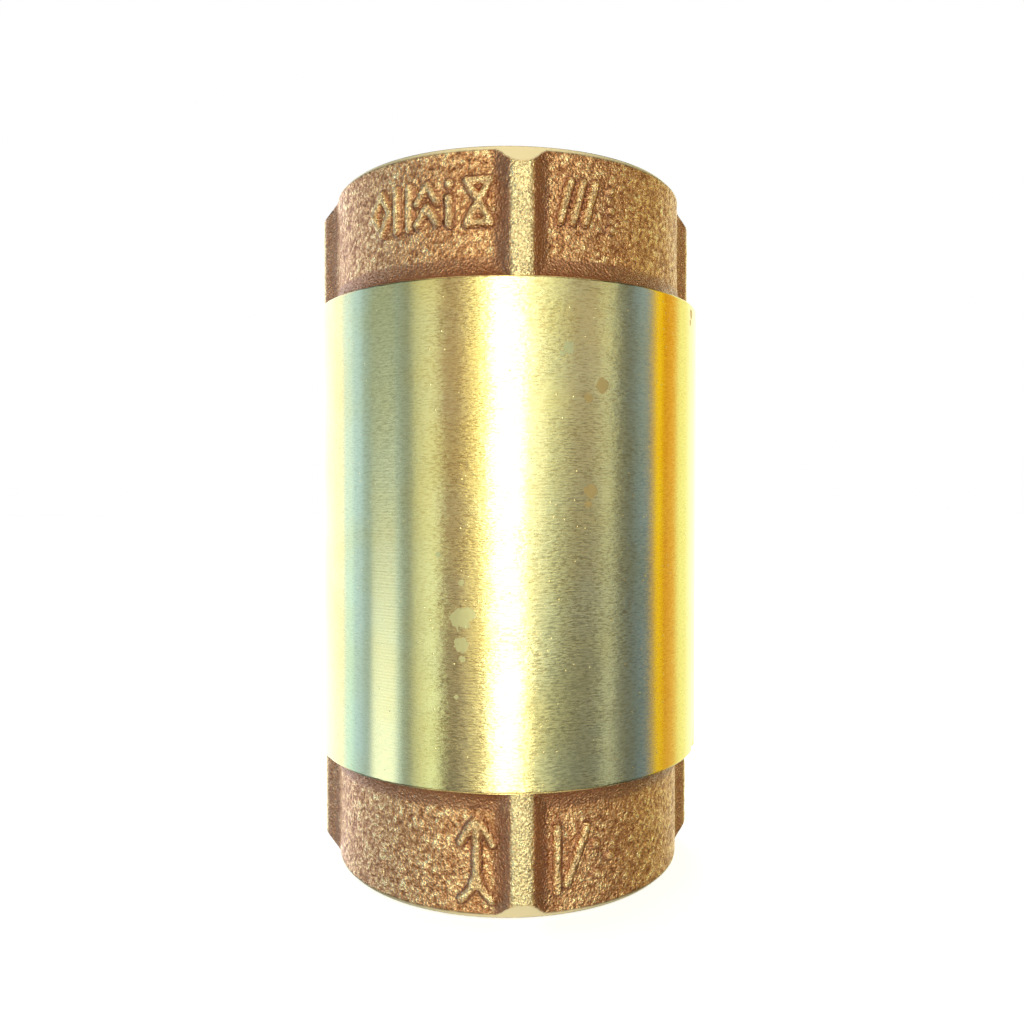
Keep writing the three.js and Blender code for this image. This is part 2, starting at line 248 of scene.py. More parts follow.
def makeCastBronze(look):
    material, tree, place = newMaterial("sandCastBronze")
    relief, cut, raised, corner = [
        addNode(tree, "ShaderNodeAttribute", attribute_name=label).outputs["Fac"]
        for label in ("relief", "cut", "raised", "corner")]
    fine = addNode(
        tree, "ShaderNodeTexNoise",
        {"Vector": place, "Scale": 1 / (look["grain"] * mm), "Detail": 3.0, "Roughness": 0.55})
    pebble = addNode(tree, "ShaderNodeTexVoronoi", {"Vector": place, "Scale": 1 / (look["pebble"] * mm)})
    dome = addNode(tree, "ShaderNodeMapRange", pebble.outputs["Distance"], 0.0, 0.7, 1.0, 0.0)
    both = addNode(tree, "ShaderNodeMath", relief, fine, operation="ADD")
    # the grain's colour runs from its hollows to its tops; the golden tops are partly wear and partly painted
    # highlight
    shades = zip((0.0, 0.3, 0.62, 0.95), ("hollow", "skin", "light", "worn"))
    skin = addNode(
        tree, "ShaderNodeValToRGB", addNode(tree, "ShaderNodeMapRange", both, 0.62, 1.42),
        stops=[(level, hexColour(look[shade])) for level, shade in shades])
    # painted shade in the corners, mixed into the skin colour
    paintedCornerShade = addNode(tree, "ShaderNodeMapRange", corner, 0.1, 0.9, 0.0, 0.82)
    skin = addNode(tree, "ShaderNodeMixRGB", paintedCornerShade, skin, hexColour(look["corner"]))
    # painted shadow round the marks, mixed into the skin colour
    paintedOutlineShadow = addNode(tree, "ShaderNodeMapRange", corner, 1.05, 1.5, 0.0, 0.8)
    skin = addNode(tree, "ShaderNodeMixRGB", paintedOutlineShadow, skin, hexColour(look["outline"]))
    # golden rib crowns and mark tops, partly wear and partly painted highlight
    patchy = addNode(tree, "ShaderNodeMapRange", fine, 0.35, 0.55, 0.35, 1.0)
    high = addNode(tree, "ShaderNodeMath", raised, patchy, operation="MULTIPLY")
    skin = addNode(tree, "ShaderNodeMixRGB", high, skin, hexColour(look["worn"]))
    dull = addNode(tree, "ShaderNodeMapRange", both, 0.8, 1.25, *look["roughness"])
    keep = addNode(tree, "ShaderNodeMapRange", cut, 0.0, 1.0, 1.0, 0.03)
    grains = addNode(tree, "ShaderNodeMath", fine, keep, operation="MULTIPLY")
    domes = addNode(tree, "ShaderNodeMath", dome, keep, operation="MULTIPLY")
    rise = addNode(tree, "ShaderNodeBump", {"Height": grains, "Distance": look["grainBump"] * mm})
    rise = addNode(
        tree, "ShaderNodeBump", {"Height": domes, "Distance": look["pebbleBump"] * mm, "Normal": rise})
    shader = addNode(tree, "ShaderNodeBsdfPrincipled", {
        "Base Color": addNode(tree, "ShaderNodeMixRGB", cut, skin, hexColour(look["machined"])),
        "Metallic": addNode(tree, "ShaderNodeMapRange", cut, 0.0, 1.0, 1.0, 0.7),
        "Roughness": addNode(tree, "ShaderNodeMapRange", {"Value": cut, "To Min": dull, "To Max": 0.5}),
        "Normal": rise})
    addNode(tree, "ShaderNodeOutputMaterial", shader)
    return material


# Bronze off the lathe: bright, with feed marks round the axis that draw reflections out along it
turnedLook = {
    "metal": "#e6d290", "warm": "#e6cd84", "stain": "#ffd884", "pale": "#fff6ac", "pit": "#d8a860",
    "feed": 0.4, "feedBump": 0.0012, "lineBump": 0.012, "scuffBump": 0.042, "dotBump": 0.03, "roughness": 0.2,
    "stretch": 0.98, "streak": ("#cfc6b8", "#f6f3ec", "#ffffff"), "plainStreaks": 0.35,
}
# stretch, size in millimetres, detail and roughness of each grain
turnedGrains = {
    "ring": ((0.05, 0.05, 2.2), 0.5, 4.0, 0.75), "broad": ((1, 1, 1), 9.0, 2.0, 0.5),
    "scuff": ((0.24, 0.24, 1.0), 0.19, 2.0, 0.7)}
# stains on the barrel: angle from the front rib, level, size, colour
barrelStains = [
    (-15.6, 38.4, 1.3, "pale"), (-13.4, 38.9, 0.8, "pale"), (-15.4, 35.2, 1.0, "pale"),
    (-15.2, 33.4, 0.4, "pale"), (-15.4, 42.8, 0.4, "pale"), (-16.6, 28.7, 0.3, "pale"),
    (-21.5, 46.2, 0.4, "pale"), (11.6, 71.6, 0.75, "pale"), (10.0, 70.9, 0.35, "pale"),
    (21.0, 67.2, 0.95, "stain"), (16.9, 65.5, 0.6, "stain"), (17.6, 54.0, 0.9, "stain"),
    (17.0, 52.4, 0.5, "stain"), (62.0, 78.9, 0.7, "pit"), (61.0, 77.6, 0.4, "pit"),
]
# degrees from the front rib between which handling has scuffed the barrel
scuffZone = {"from": -31, "to": 38, "fade": 10}


def makeTurnedBronze(name, look, stains=(), scuffs=None):
    material, tree, place = newMaterial(name)
    parts = addNode(tree, "ShaderNodeSeparateXYZ", place)
    grains = {}
    for label, (stretch, size, detail, roughness) in turnedGrains.items():
        spread = addNode(tree, "ShaderNodeMapping", {"Vector": place, "Scale": stretch})
        grains[label] = addNode(
            tree, "ShaderNodeTexNoise",
            {"Vector": spread, "Scale": 1 / (size * mm), "Detail": detail, "Roughness": roughness})
    scuff = grains["scuff"]
    tint = addNode(tree, "ShaderNodeMapRange", grains["broad"], 0.4, 0.65)
    colour = addNode(tree, "ShaderNodeMixRGB", tint, hexColour(look["metal"]), hexColour(look["warm"]))
    streaks = addNode(
        tree, "ShaderNodeValToRGB", scuff,
        stops=[(level, hexColour(shade)) for level, shade in zip((0.36, 0.5, 0.62), look["streak"])])
    share = look["plainStreaks"]
    if scuffs:
        back = addNode(tree, "ShaderNodeMath", parts.outputs["Y"], -1, operation="MULTIPLY")
        turn = addNode(tree, "ShaderNodeMath", parts.outputs["X"], back, operation="ARCTAN2")
        low, high, fade = [math.radians(scuffs[k]) for k in ("from", "to", "fade")]
        left = addNode(tree, "ShaderNodeMapRange", turn, low, low + fade)
        right = addNode(tree, "ShaderNodeMapRange", turn, high, high - fade)
        worn = addNode(tree, "ShaderNodeMath", left, right, operation="MULTIPLY")
        cloud = addNode(
            tree, "ShaderNodeTexNoise",
            {"Vector": place, "Scale": 1 / (5.0 * mm), "Detail": 3.0, "Roughness": 0.6})
        patchy = addNode(tree, "ShaderNodeMapRange", cloud, 0.36, 0.6, 0.35, 1.0)
        worn = addNode(tree, "ShaderNodeMath", worn, patchy, operation="MULTIPLY")
        share = addNode(tree, "ShaderNodeMapRange", worn, 0.0, 1.0, look["plainStreaks"], 1.0)
    colour = addNode(tree, "ShaderNodeMixRGB", share, colour, streaks, blend_type="MULTIPLY")
    ragged = addNode(
        tree, "ShaderNodeTexNoise",
        {"Vector": place, "Scale": 1 / (0.7 * mm), "Detail": 3.0, "Roughness": 0.65})
    tarnish = 0.0
    for angle, level, size, kind in stains:
        turn = math.radians(angle)
        centre = (cadHigh.x * math.sin(turn), -cadHigh.x * math.cos(turn), level * mm)
        away = addNode(tree, "ShaderNodeVectorMath", place, centre, operation="DISTANCE").outputs["Value"]
        edge = addNode(tree, "ShaderNodeMath", ragged, -1.5 * size * mm, away, operation="MULTIPLY_ADD")
        spot = addNode(tree, "ShaderNodeMapRange", edge, 0.28 * size * mm, 0.18 * size * mm)
        colour = addNode(tree, "ShaderNodeMixRGB", spot, colour, hexColour(look[kind]))
        tarnish = addNode(tree, "ShaderNodeMath", tarnish, spot, operation="MAXIMUM")
    rough = addNode(
        tree, "ShaderNodeMapRange", scuff, 0.35, 0.65, look["roughness"] - 0.03, look["roughness"] + 0.05)
    angle = addNode(
        tree, "ShaderNodeMath", parts.outputs["Z"], 2 * math.pi / (look["feed"] * mm), operation="MULTIPLY")
    feed = addNode(tree, "ShaderNodeMath", angle, operation="SINE")
    rise = addNode(tree, "ShaderNodeBump", {"Height": feed, "Distance": look["feedBump"] * mm})
    heights = [(grains["ring"], look["lineBump"])]
    if scuffs:
        dots = addNode(tree, "ShaderNodeTexVoronoi", {"Vector": place, "Scale": 1 / (1.3 * mm)})
        heights += [
            (addNode(tree, "ShaderNodeMath", scuff, worn, operation="MULTIPLY"), look["scuffBump"]),
            (addNode(tree, "ShaderNodeMapRange", dots.outputs["Distance"], 0.085, 0.03), look["dotBump"])]
    for height, depth in heights:
        rise = addNode(tree, "ShaderNodeBump", {"Height": height, "Distance": depth * mm, "Normal": rise})
    shader = addNode(tree, "ShaderNodeBsdfPrincipled", {
        "Base Color": colour, "Normal": rise, "Anisotropic": look["stretch"], "Anisotropic Rotation": 0.25,
        "Metallic": addNode(tree, "ShaderNodeMapRange", tarnish, 0.0, 1.0, 1.0, 0.8),
        "Roughness": addNode(tree, "ShaderNodeMapRange", {"Value": tarnish, "To Min": rough, "To Max": 0.5}),
        "Tangent": addNode(tree, "ShaderNodeTangent", direction_type="RADIAL", axis="Z")})
    addNode(tree, "ShaderNodeOutputMaterial", shader)
    return material


# Turned stainless: grey and smooth, with a faint ring grain
def makeStainless(name, colour, roughness, ringSize):
    material, tree, place = newMaterial(name)
    spread = addNode(tree, "ShaderNodeMapping", {"Vector": place, "Scale": (0.08, 0.08, 1.0)})
    ring = addNode(
        tree, "ShaderNodeTexNoise",
        {"Vector": spread, "Scale": 1 / (ringSize * mm), "Detail": 2.0, "Roughness": 0.5})
    tone = hexColour(colour)
    darker = tuple(c * 0.86 for c in tone[:3]) + (1.0,)
    tint = addNode(tree, "ShaderNodeMapRange", ring, 0.35, 0.65)
    shader = addNode(tree, "ShaderNodeBsdfPrincipled", {
        "Base Color": addNode(tree, "ShaderNodeMixRGB", tint, tone, darker), "Metallic": 1.0,
        "Roughness": addNode(tree, "ShaderNodeMapRange", ring, 0.3, 0.7, roughness - 0.05, roughness + 0.08),
        "Normal": addNode(tree, "ShaderNodeBump", {"Height": ring, "Distance": 0.01 * mm})})
    addNode(tree, "ShaderNodeOutputMaterial", shader)
    return material


# Moulded nitrile: black, with a soft sheen and a powdery bloom
def makeNitrile():
    material, tree, place = newMaterial("mouldedNitrile")
    bloom, powder = [
        addNode(
            tree, "ShaderNodeTexNoise",
            {"Vector": place, "Scale": 1 / (size * mm), "Detail": detail, "Roughness": 0.5})
        for size, detail in ((1.6, 4.0), (0.2, 2.0))]
    tint = addNode(tree, "ShaderNodeMapRange", bloom, 0.4, 0.7)
    shader = addNode(tree, "ShaderNodeBsdfPrincipled", {
        "Base Color": addNode(tree, "ShaderNodeMixRGB", tint, hexColour("#1a1b1d"), hexColour("#2b2c2e")),
        "Roughness": 0.62, "IOR": 1.52,
        "Normal": addNode(tree, "ShaderNodeBump", {"Height": powder, "Distance": 0.02 * mm})})
    addNode(tree, "ShaderNodeOutputMaterial", shader)
    return material


# Turned acetal: off-white and waxy, with fine tool rings
def makeAcetal():
    material, tree, place = newMaterial("turnedAcetal")
    spread = addNode(tree, "ShaderNodeMapping", {"Vector": place, "Scale": (0.1, 0.1, 1.0)})
    ring = addNode(
        tree, "ShaderNodeTexNoise",
        {"Vector": spread, "Scale": 1 / (0.35 * mm), "Detail": 2.0, "Roughness": 0.5})
    tint = addNode(tree, "ShaderNodeMapRange", ring, 0.35, 0.65)
    shader = addNode(tree, "ShaderNodeBsdfPrincipled", {
        "Base Color": addNode(tree, "ShaderNodeMixRGB", tint, hexColour("#ece8dc"), hexColour("#dcd6c6")),
        "Roughness": 0.38, "IOR": 1.48, "Subsurface Weight": 0.12, "Subsurface Scale": 1.0 * mm,
        "Normal": addNode(tree, "ShaderNodeBump", {"Height": ring, "Distance": 0.015 * mm})})
    addNode(tree, "ShaderNodeOutputMaterial", shader)
    return material


castBronze = makeCastBronze(castLook)
barrelBronze = makeTurnedBronze("turnedBronzeBarrel", turnedLook, barrelStains, scuffZone)
turnedBronze = makeTurnedBronze("turnedBronze", turnedLook)
stainless = makeStainless("turnedStainless", "#c9ccce", 0.26, 0.3)
springSteel = makeStainless("drawnSpringWire", "#b4b7ba", 0.22, 0.15)
nitrile = makeNitrile()
acetal = makeAcetal()
print("materials made")


# Meshes. An outline is a closed loop of (radius, level), up its outer side and down its inner side.
evenTurn = np.arange(160) * 2 * math.pi / 160


def makePiece(name, vertices, faces, materials):
    data = bpy.data.meshes.new(name)
    data.from_pydata((np.asarray(vertices) * mm).tolist(), [], [list(map(int, f)) for f in faces])
    for material in materials:
        data.materials.append(material)
    data.polygons.foreach_set("use_smooth", np.ones(len(data.polygons), bool))
    data.update()
    piece = bpy.data.objects.new(name, data)
    bpy.context.scene.collection.objects.link(piece)
    return piece


def fasten(piece, body, slot, *nodes):
    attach(piece, body)
    if nodes:
        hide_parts(*nodes)


def loopFaces(rows, columns):  # quads of a grid that closes both along its rows and round its columns
    r, c = np.meshgrid(np.arange(rows), np.arange(columns), indexing="ij")
    nextR, nextC = (r + 1) % rows, (c + 1) % columns
    corners = [r * columns + c, r * columns + nextC, nextR * columns + nextC, nextR * columns + c]
    return np.stack(corners, -1).reshape(-1, 4)


def turnedPiece(name, outline, materials, angles=evenTurn, shape=None):
    outline = np.asarray(outline, float)
    radius = np.repeat(outline[:, 0, None], len(angles), 1)
    level = np.repeat(outline[:, 1, None], len(angles), 1)
    if shape:
        radius, level = shape(radius, level, angles)
    grid = np.stack([radius * np.sin(angles), -radius * np.cos(angles), level], -1).reshape(-1, 3)
    return makePiece(name, grid, loopFaces(len(outline), len(angles)), materials)


def eased(corners, radius=0.25, steps=4, guard=0.08):
    # every corner becomes a small arc; a guard point on each side of it keeps the flats flat
    points = [np.array(c[:2], float) for c in corners]
    result = []
    for i, here in enumerate(points):
        own = corners[i][2] if len(corners[i]) > 2 else radius
        before, after = points[i - 1] - here, points[(i + 1) % len(points)] - here
        toBefore, toAfter = np.linalg.norm(before), np.linalg.norm(after)
        before, after = before / toBefore, after / toAfter
        half = math.acos(float(np.clip(before @ after, -1, 1))) / 2
        back = min(own / max(math.tan(half), 1e-6), toBefore * 0.4, toAfter * 0.4)
        if own == 0 or half > 1.53:
            result.append(here)
            continue
        result.append(here + before * min(back + guard, toBefore * 0.45))
        for step in range(steps + 1):
            t = step / steps
            start, end = here + before * back, here + after * back
            result.append((1 - t) ** 2 * start + 2 * t * (1 - t) * here + t * t * end)
        result.append(here + after * min(back + guard, toAfter * 0.45))
    return result


def run(start, end, step):  # points from start to just before end, step apart
    start, end = np.array(start, float), np.array(end, float)
    count = max(int(round(np.linalg.norm(end - start) / step)), 1)
    return [start + (end - start) * i / count for i in range(count)]


def bend(centre, radius, start, end, steps):  # an arc, angles in degrees
    return [
        np.array(centre) + radius * np.array([math.cos(a), math.sin(a)])
        for a in np.radians(np.linspace(start, end, steps + 1))]


def smoothStep(low, high, x):
    t = np.clip((x - low) / (high - low), 0, 1)
    return t * t * (3 - 2 * t)


def vee(phase, flat=0.08):  # a thread's tooth, 0 at the crest and 1 at the root
    away = np.abs((phase % 1.0) * 2 - 1)
    return np.clip((away - flat) / (1 - 2 * flat), 0, 1)


def bakeNodes(piece):  # the evaluated mesh replaces the modifier
    graph = bpy.context.evaluated_depsgraph_get()
    mesh = bpy.data.meshes.new_from_object(piece.evaluated_get(graph))
    mesh.name = piece.name
    piece.modifiers.clear()
    piece.data = mesh


def newTree(name, numbers):
    tree = bpy.data.node_groups.new(name, "GeometryNodeTree")
    tree.interface.new_socket("Geometry", in_out="INPUT", socket_type="NodeSocketGeometry")
    for label, value in numbers.items():
        kind = "NodeSocketInt" if isinstance(value, int) else "NodeSocketFloat"
        tree.interface.new_socket(label, in_out="INPUT", socket_type=kind)
    tree.interface.new_socket("Material", in_out="INPUT", socket_type="NodeSocketMaterial")
    tree.interface.new_socket("Geometry", in_out="OUTPUT", socket_type="NodeSocketGeometry")
    return tree, addNode(tree, "NodeGroupInput").outputs


def addTree(piece, tree, inputs, material):
    modifier = piece.modifiers.new(tree.name, "NODES")
    modifier.node_group = tree
    given = {**inputs, "Material": material}
    for item in tree.interface.items_tree:
        if item.in_out == "INPUT" and item.name in given:
            modifier[item.identifier] = given[item.name]


def placeRound(tree, radius, turns, level):  # a place from a radius, a number of turns and a level
    angle = addNode(tree, "ShaderNodeMath", turns, 2 * math.pi, operation="MULTIPLY")
    radius, level = [
        addNode(tree, "ShaderNodeMath", value, mm, operation="MULTIPLY") for value in (radius, level)]
    x, y = [
        addNode(
            tree, "ShaderNodeMath", radius, addNode(tree, "ShaderNodeMath", angle, operation=side),
            operation="MULTIPLY")
        for side in ("COSINE", "SINE")]
    return addNode(tree, "ShaderNodeCombineXYZ", x, y, level)


# Castings
castInner = 24.9  # everything cast on the outside lies beyond this radius
ribs = {"count": 4, "radius": 27.6, "crown": 2.8, "base": 5.9, "root": 25.3, "round": 1.1, "foot": 1.3}
columnPlan = {"front": 80, "frontStep": 0.22, "backStep": 0.42, "ribStep": 0.16}


def castingAngles(plan):  # columns stand close together at the front and on the ribs' sides
    fine = np.linspace(-math.pi, math.pi, 20001)
    step = np.where(np.abs(fine) < math.radians(plan["front"]), plan["frontStep"], plan["backStep"])
    pitch = 2 * math.pi / ribs["count"]
    across = np.abs((fine + pitch / 2) % pitch - pitch / 2) * 26
    step = np.where((across > 1.0) & (across < 3.3), np.minimum(step, plan["ribStep"]), step)
    growth = np.concatenate([[0], np.cumsum(26 / ((step[1:] + step[:-1]) / 2) * np.diff(fine))])
    count = int(growth[-1])
    return np.interp(np.arange(count) * growth[-1] / count, growth, fine)


def softMax(a, b, blend):
    near = np.clip(blend - np.abs(a - b), 0, None) / blend
    return np.maximum(a, b) + near * near * blend / 4


def ribRadius(angles, size):  # the ribs alone: a flat crown between two drafted sides
    pitch = 2 * math.pi / size["count"]
    turn = (angles + pitch / 2) % pitch - pitch / 2
    slope = (size["radius"] - size["root"]) / ((size["base"] - size["crown"]) / 2)
    crown = size["radius"] / np.cos(turn)
    side = (size["radius"] + slope * size["crown"] / 2) / (np.cos(turn) + slope * np.abs(np.sin(turn)))
    return -softMax(-crown, -side, size["round"])


# Raised marks in place of the maker's lettering.
# A stroke is x1, z1, x2, z2 in millimetres from the mark's middle.
markShapes = {
    "diamond": [(-1.5, 0, 0, 2.6), (0, 2.6, 1.5, 0), (1.5, 0, 0, -2.6), (0, -2.6, -1.5, 0)],
    "twinBars": [(-1.0, -2.6, -1.0, 2.6), (1.0, -2.6, 1.0, 2.6)],
    "chevrons": [(-1.4, 0.4, 0, 2.5), (0, 2.5, 1.4, 0.4), (-1.4, -2.3, 0, -0.2), (0, -0.2, 1.4, -2.3)],
    "barAndPip": [(0, -2.6, 0, 0.6), (0, 2.3, 0, 2.5)],
    "hourglass": [
        (-1.5, 2.6, 1.5, 2.6), (1.5, 2.6, -1.5, -2.6), (-1.5, -2.6, 1.5, -2.6), (1.5, -2.6, -1.5, 2.6)],
    "slants": [(-2.2, -2.4, -0.8, 2.6), (-0.5, -2.4, 0.9, 2.6), (1.2, -2.4, 2.6, 2.6)],
    "pips": [(0, 2.4, 0, 2.5), (0, 0, 0, 0.1), (0, -2.4, 0, -2.3)],
    "flowArrow": [
        (0, -3.2, 0, 4.6), (-2.0, 2.2, -0.9, 4.2), (-0.9, 4.2, 0, 5.0), (0, 5.0, 0.9, 4.2),
        (0.9, 4.2, 2.0, 2.2), (-1.9, -5.0, -0.5, -3.4), (-0.5, -3.4, 0, -1.4), (0, -1.4, 0.5, -3.4),
        (0.5, -3.4, 1.9, -5.0)],
    "tallBar": [(0, -4.2, 0, 4.0)],
    "slash": [(-1.3, -3.4, 1.5, 3.6)],
    "pipPair": [(0, 1.5, 0.1, 1.5), (0.2, -2.4, 0.3, -2.4), (2.2, -0.4, 2.3, -0.4)],
}
# mark, angle from the front rib, level
upperMarks = [
    ("diamond", -43.6, 90.0), ("twinBars", -35.4, 90.0), ("chevrons", -27.2, 90.0), ("barAndPip", -20.4, 90.0),
    ("hourglass", -11.8, 90.0), ("slants", 16.0, 90.2), ("pips", 27.4, 89.8)]
lowerMarks = [("flowArrow", -12.6, 7.5), ("tallBar", 10.4, 7.6), ("slash", 16.2, 7.6), ("pipPair", 22.4, 7.2)]
# outline: width of the painted shadow that rings each stroke
stroke = {"width": 1.0, "height": 0.62, "flank": 0.5, "outline": 0.52}


def markHeight(marks, level, angles, radius=25.4):
    height, outline = np.zeros_like(level), np.zeros_like(level)
    for name, bearing, middle in marks:
        across = (angles - math.radians(bearing)) * radius
        columns = np.where(np.abs(across) < 4.5)[0]
        rows = np.where(np.abs(level[:, 0] - middle) < 7)[0]
        if len(rows) == 0:
            continue
        block = np.ix_(rows, columns)
        x = np.broadcast_to(across[columns], height[block].shape)
        z = level[block] - middle
        nearest = np.full(x.shape, 9.0)
        for x1, z1, x2, z2 in markShapes[name]:
            dx, dz = x2 - x1, z2 - z1
            along = np.clip(((x - x1) * dx + (z - z1) * dz) / (dx * dx + dz * dz), 0, 1)
            nearest = np.minimum(nearest, np.hypot(x - x1 - along * dx, z - z1 - along * dz))
        half, flank = stroke["width"] / 2, stroke["flank"] / 2
        height[block] += stroke["height"] * (1 - smoothStep(half - flank, half + flank, nearest))
        # a ring round each stroke's foot, for the painted shadow there
        foot = half + flank * 0.8
        outline[block] += 1 - smoothStep(0, stroke["outline"] / 2, np.abs(nearest - foot))
    return height, outline


facing = {"cone": 24.85, "edge": 0.58}  # the machined end runs out as a cone and brightens the rim beside it


def castShape(marks, face, castFrom, castTo, barrelEnd):
    # face is the machined end of the casting, and the cast skin lies between castFrom and castTo
    def shape(radius, level, angles):
        cast = (level > castFrom) & (level < castTo) & (radius > castInner)
        blend = np.clip(0.15 + 0.6 * np.abs(level - barrelEnd), 0.15, ribs["foot"])
        rib = np.broadcast_to(ribRadius(angles, ribs), radius.shape)
        ribbed = softMax(radius, rib, blend)
        height, outline = markHeight(marks, level, angles)
        onWall = ribbed - radius < 0.5
        grown = ribbed + height * onWall
        cut = np.minimum(grown, facing["cone"] + np.abs(level - face))
        shape.cut = np.where(cast, smoothStep(0.0, 0.12, grown - cut), 1.0)
        shape.cut[np.abs(level - face) < facing["edge"]] = 1.0
        # painted shade in the corners, the ribs' feet and the fillet to the barrel, and painted shadow along the
        # outlines of the marks
        onCrown = smoothStep(27.0, 27.5, rib)
        foot = smoothStep(-0.7, -0.1, rib - radius) * (1 - onCrown)
        fillet = smoothStep(25.41, 25.55, radius) * (1 - onCrown * 0.7)
        inner = np.clip(np.maximum(foot, fillet), 0, 1)
        shape.corner = np.where(cast, np.maximum(inner, outline * onWall * 1.5), 0)
        # golden rib crowns and mark tops: partly wear, partly painted highlight
        crown = smoothStep(27.2, 27.52, ribbed) + smoothStep(0.3, 0.6, height) * 0.45 * onWall
        shape.raised = np.clip(np.where(cast, crown, 0), 0, 1)
        return np.where(cast, cut, radius), level
    return shape


# Sand skin: lumps and grains raised out of the metal wherever sand lay against it
skinValues = {"Lump Size": 1.9, "Lump Height": 0.1, "Grain Size": 0.52, "Grain Height": 0.095, "Seed": 4.0}


def makeSkinTree():
    tree, given = newTree("sandSkin", skinValues)
    place = addNode(tree, "GeometryNodeInputPosition")
    normal = addNode(tree, "GeometryNodeInputNormal")
    sand = addNode(tree, "GeometryNodeInputNamedAttribute", {"Name": "sand"}, data_type="FLOAT")
    total, relief = 0.0, 0.0
    for label, share in (("Lump", 0.2), ("Grain", 0.8)):
        scale = addNode(tree, "ShaderNodeMath", 1 / mm, given[label + " Size"], operation="DIVIDE")
        cloud = addNode(
            tree, "ShaderNodeTexNoise",
            {"Vector": place, "W": given["Seed"], "Scale": scale, "Detail": 2.5, "Roughness": 0.55},
            noise_dimensions="4D")
        level = addNode(tree, "ShaderNodeMapRange", cloud, 0.28, 0.72)
        centred = addNode(tree, "ShaderNodeMath", level, 0.5, operation="SUBTRACT")
        rise = addNode(tree, "ShaderNodeMath", centred, given[label + " Height"], operation="MULTIPLY")
        total = addNode(tree, "ShaderNodeMath", total, rise, operation="ADD")
        relief = addNode(tree, "ShaderNodeMath", level, share, relief, operation="MULTIPLY_ADD")
    distance = addNode(
        tree, "ShaderNodeMath", addNode(tree, "ShaderNodeMath", total, mm, operation="MULTIPLY"), sand,
        operation="MULTIPLY")
    offset = addNode(tree, "ShaderNodeVectorMath", {0: normal, "Scale": distance}, operation="SCALE")
    stored = addNode(
        tree, "GeometryNodeStoreNamedAttribute",
        {"Geometry": given["Geometry"], "Name": "relief", "Value": relief}, data_type="FLOAT")
    moved = addNode(tree, "GeometryNodeSetPosition", {"Geometry": stored, "Offset": offset})
    real = addNode(tree, "GeometryNodeRealizeInstances", moved)
    isCast = addNode(tree, "GeometryNodeInputNamedAttribute", {"Name": "castFace"}, data_type="BOOLEAN")
    painted = addNode(
        tree, "GeometryNodeSetMaterial", {"Geometry": real, "Selection": isCast, "Material": given["Material"]})
    addNode(tree, "NodeGroupOutput", painted)
    return tree


skinTree = makeSkinTree()
castAngles = castingAngles(columnPlan)


def makeCasting(name, outline, shape, castFrom, castTo):
    outline = np.asarray(outline, float)
    piece = turnedPiece(name, outline, [castBronze, barrelBronze], castAngles, shape)
    data = piece.data
    cut = shape.cut
    level, outside = outline[:, 1], outline[:, 0] > castInner
    sandy = outside & (level > castFrom) & (level < castTo)
    rowCast = (sandy | np.roll(sandy, -1)) & outside & np.roll(outside, -1)
    # every face starts as turned metal, and the tree gives the cast ones their own
    data.polygons.foreach_set("material_index", np.ones(len(data.polygons), np.int32))
    castFace = data.attributes.new("castFace", "BOOLEAN", "FACE")
    castFace.data.foreach_set("value", np.repeat(rowCast, cut.shape[1]))
    for label, values in (("sand", 1 - cut), ("cut", cut), ("raised", shape.raised), ("corner", shape.corner)):
        attribute = data.attributes.new(label, "FLOAT", "POINT")
        attribute.data.foreach_set("value", values.astype(np.float32).ravel())
    addTree(piece, skinTree, skinValues, castBronze)
    bakeNodes(piece)
    for label in ("sand", "castFace"):
        piece.data.attributes.remove(piece.data.attributes[label])
    return piece


bodySize = {
    "low": 16.85, "high": 97.0, "barrel": 28.2, "barrelTop": 80.25, "collar": 25.4, "fillet": 2.5,
    "filletTall": 1.5, "bore": 24.3, "threadBore": 21.85, "threadDepth": 18.55, "throat": 17.8,
    "throatLevel": 74.0, "guideLevel": 66.0, "guideBore": 21.6, "rowStep": 0.21, "barrelStep": 3.2, "rim": 0.55,
    "edge": 0.25}
edgeWear = {"wave": 0.022, "seed": 7, "chipAngle": 68.5, "chipSize": 1.4, "chipDepth": 0.45}


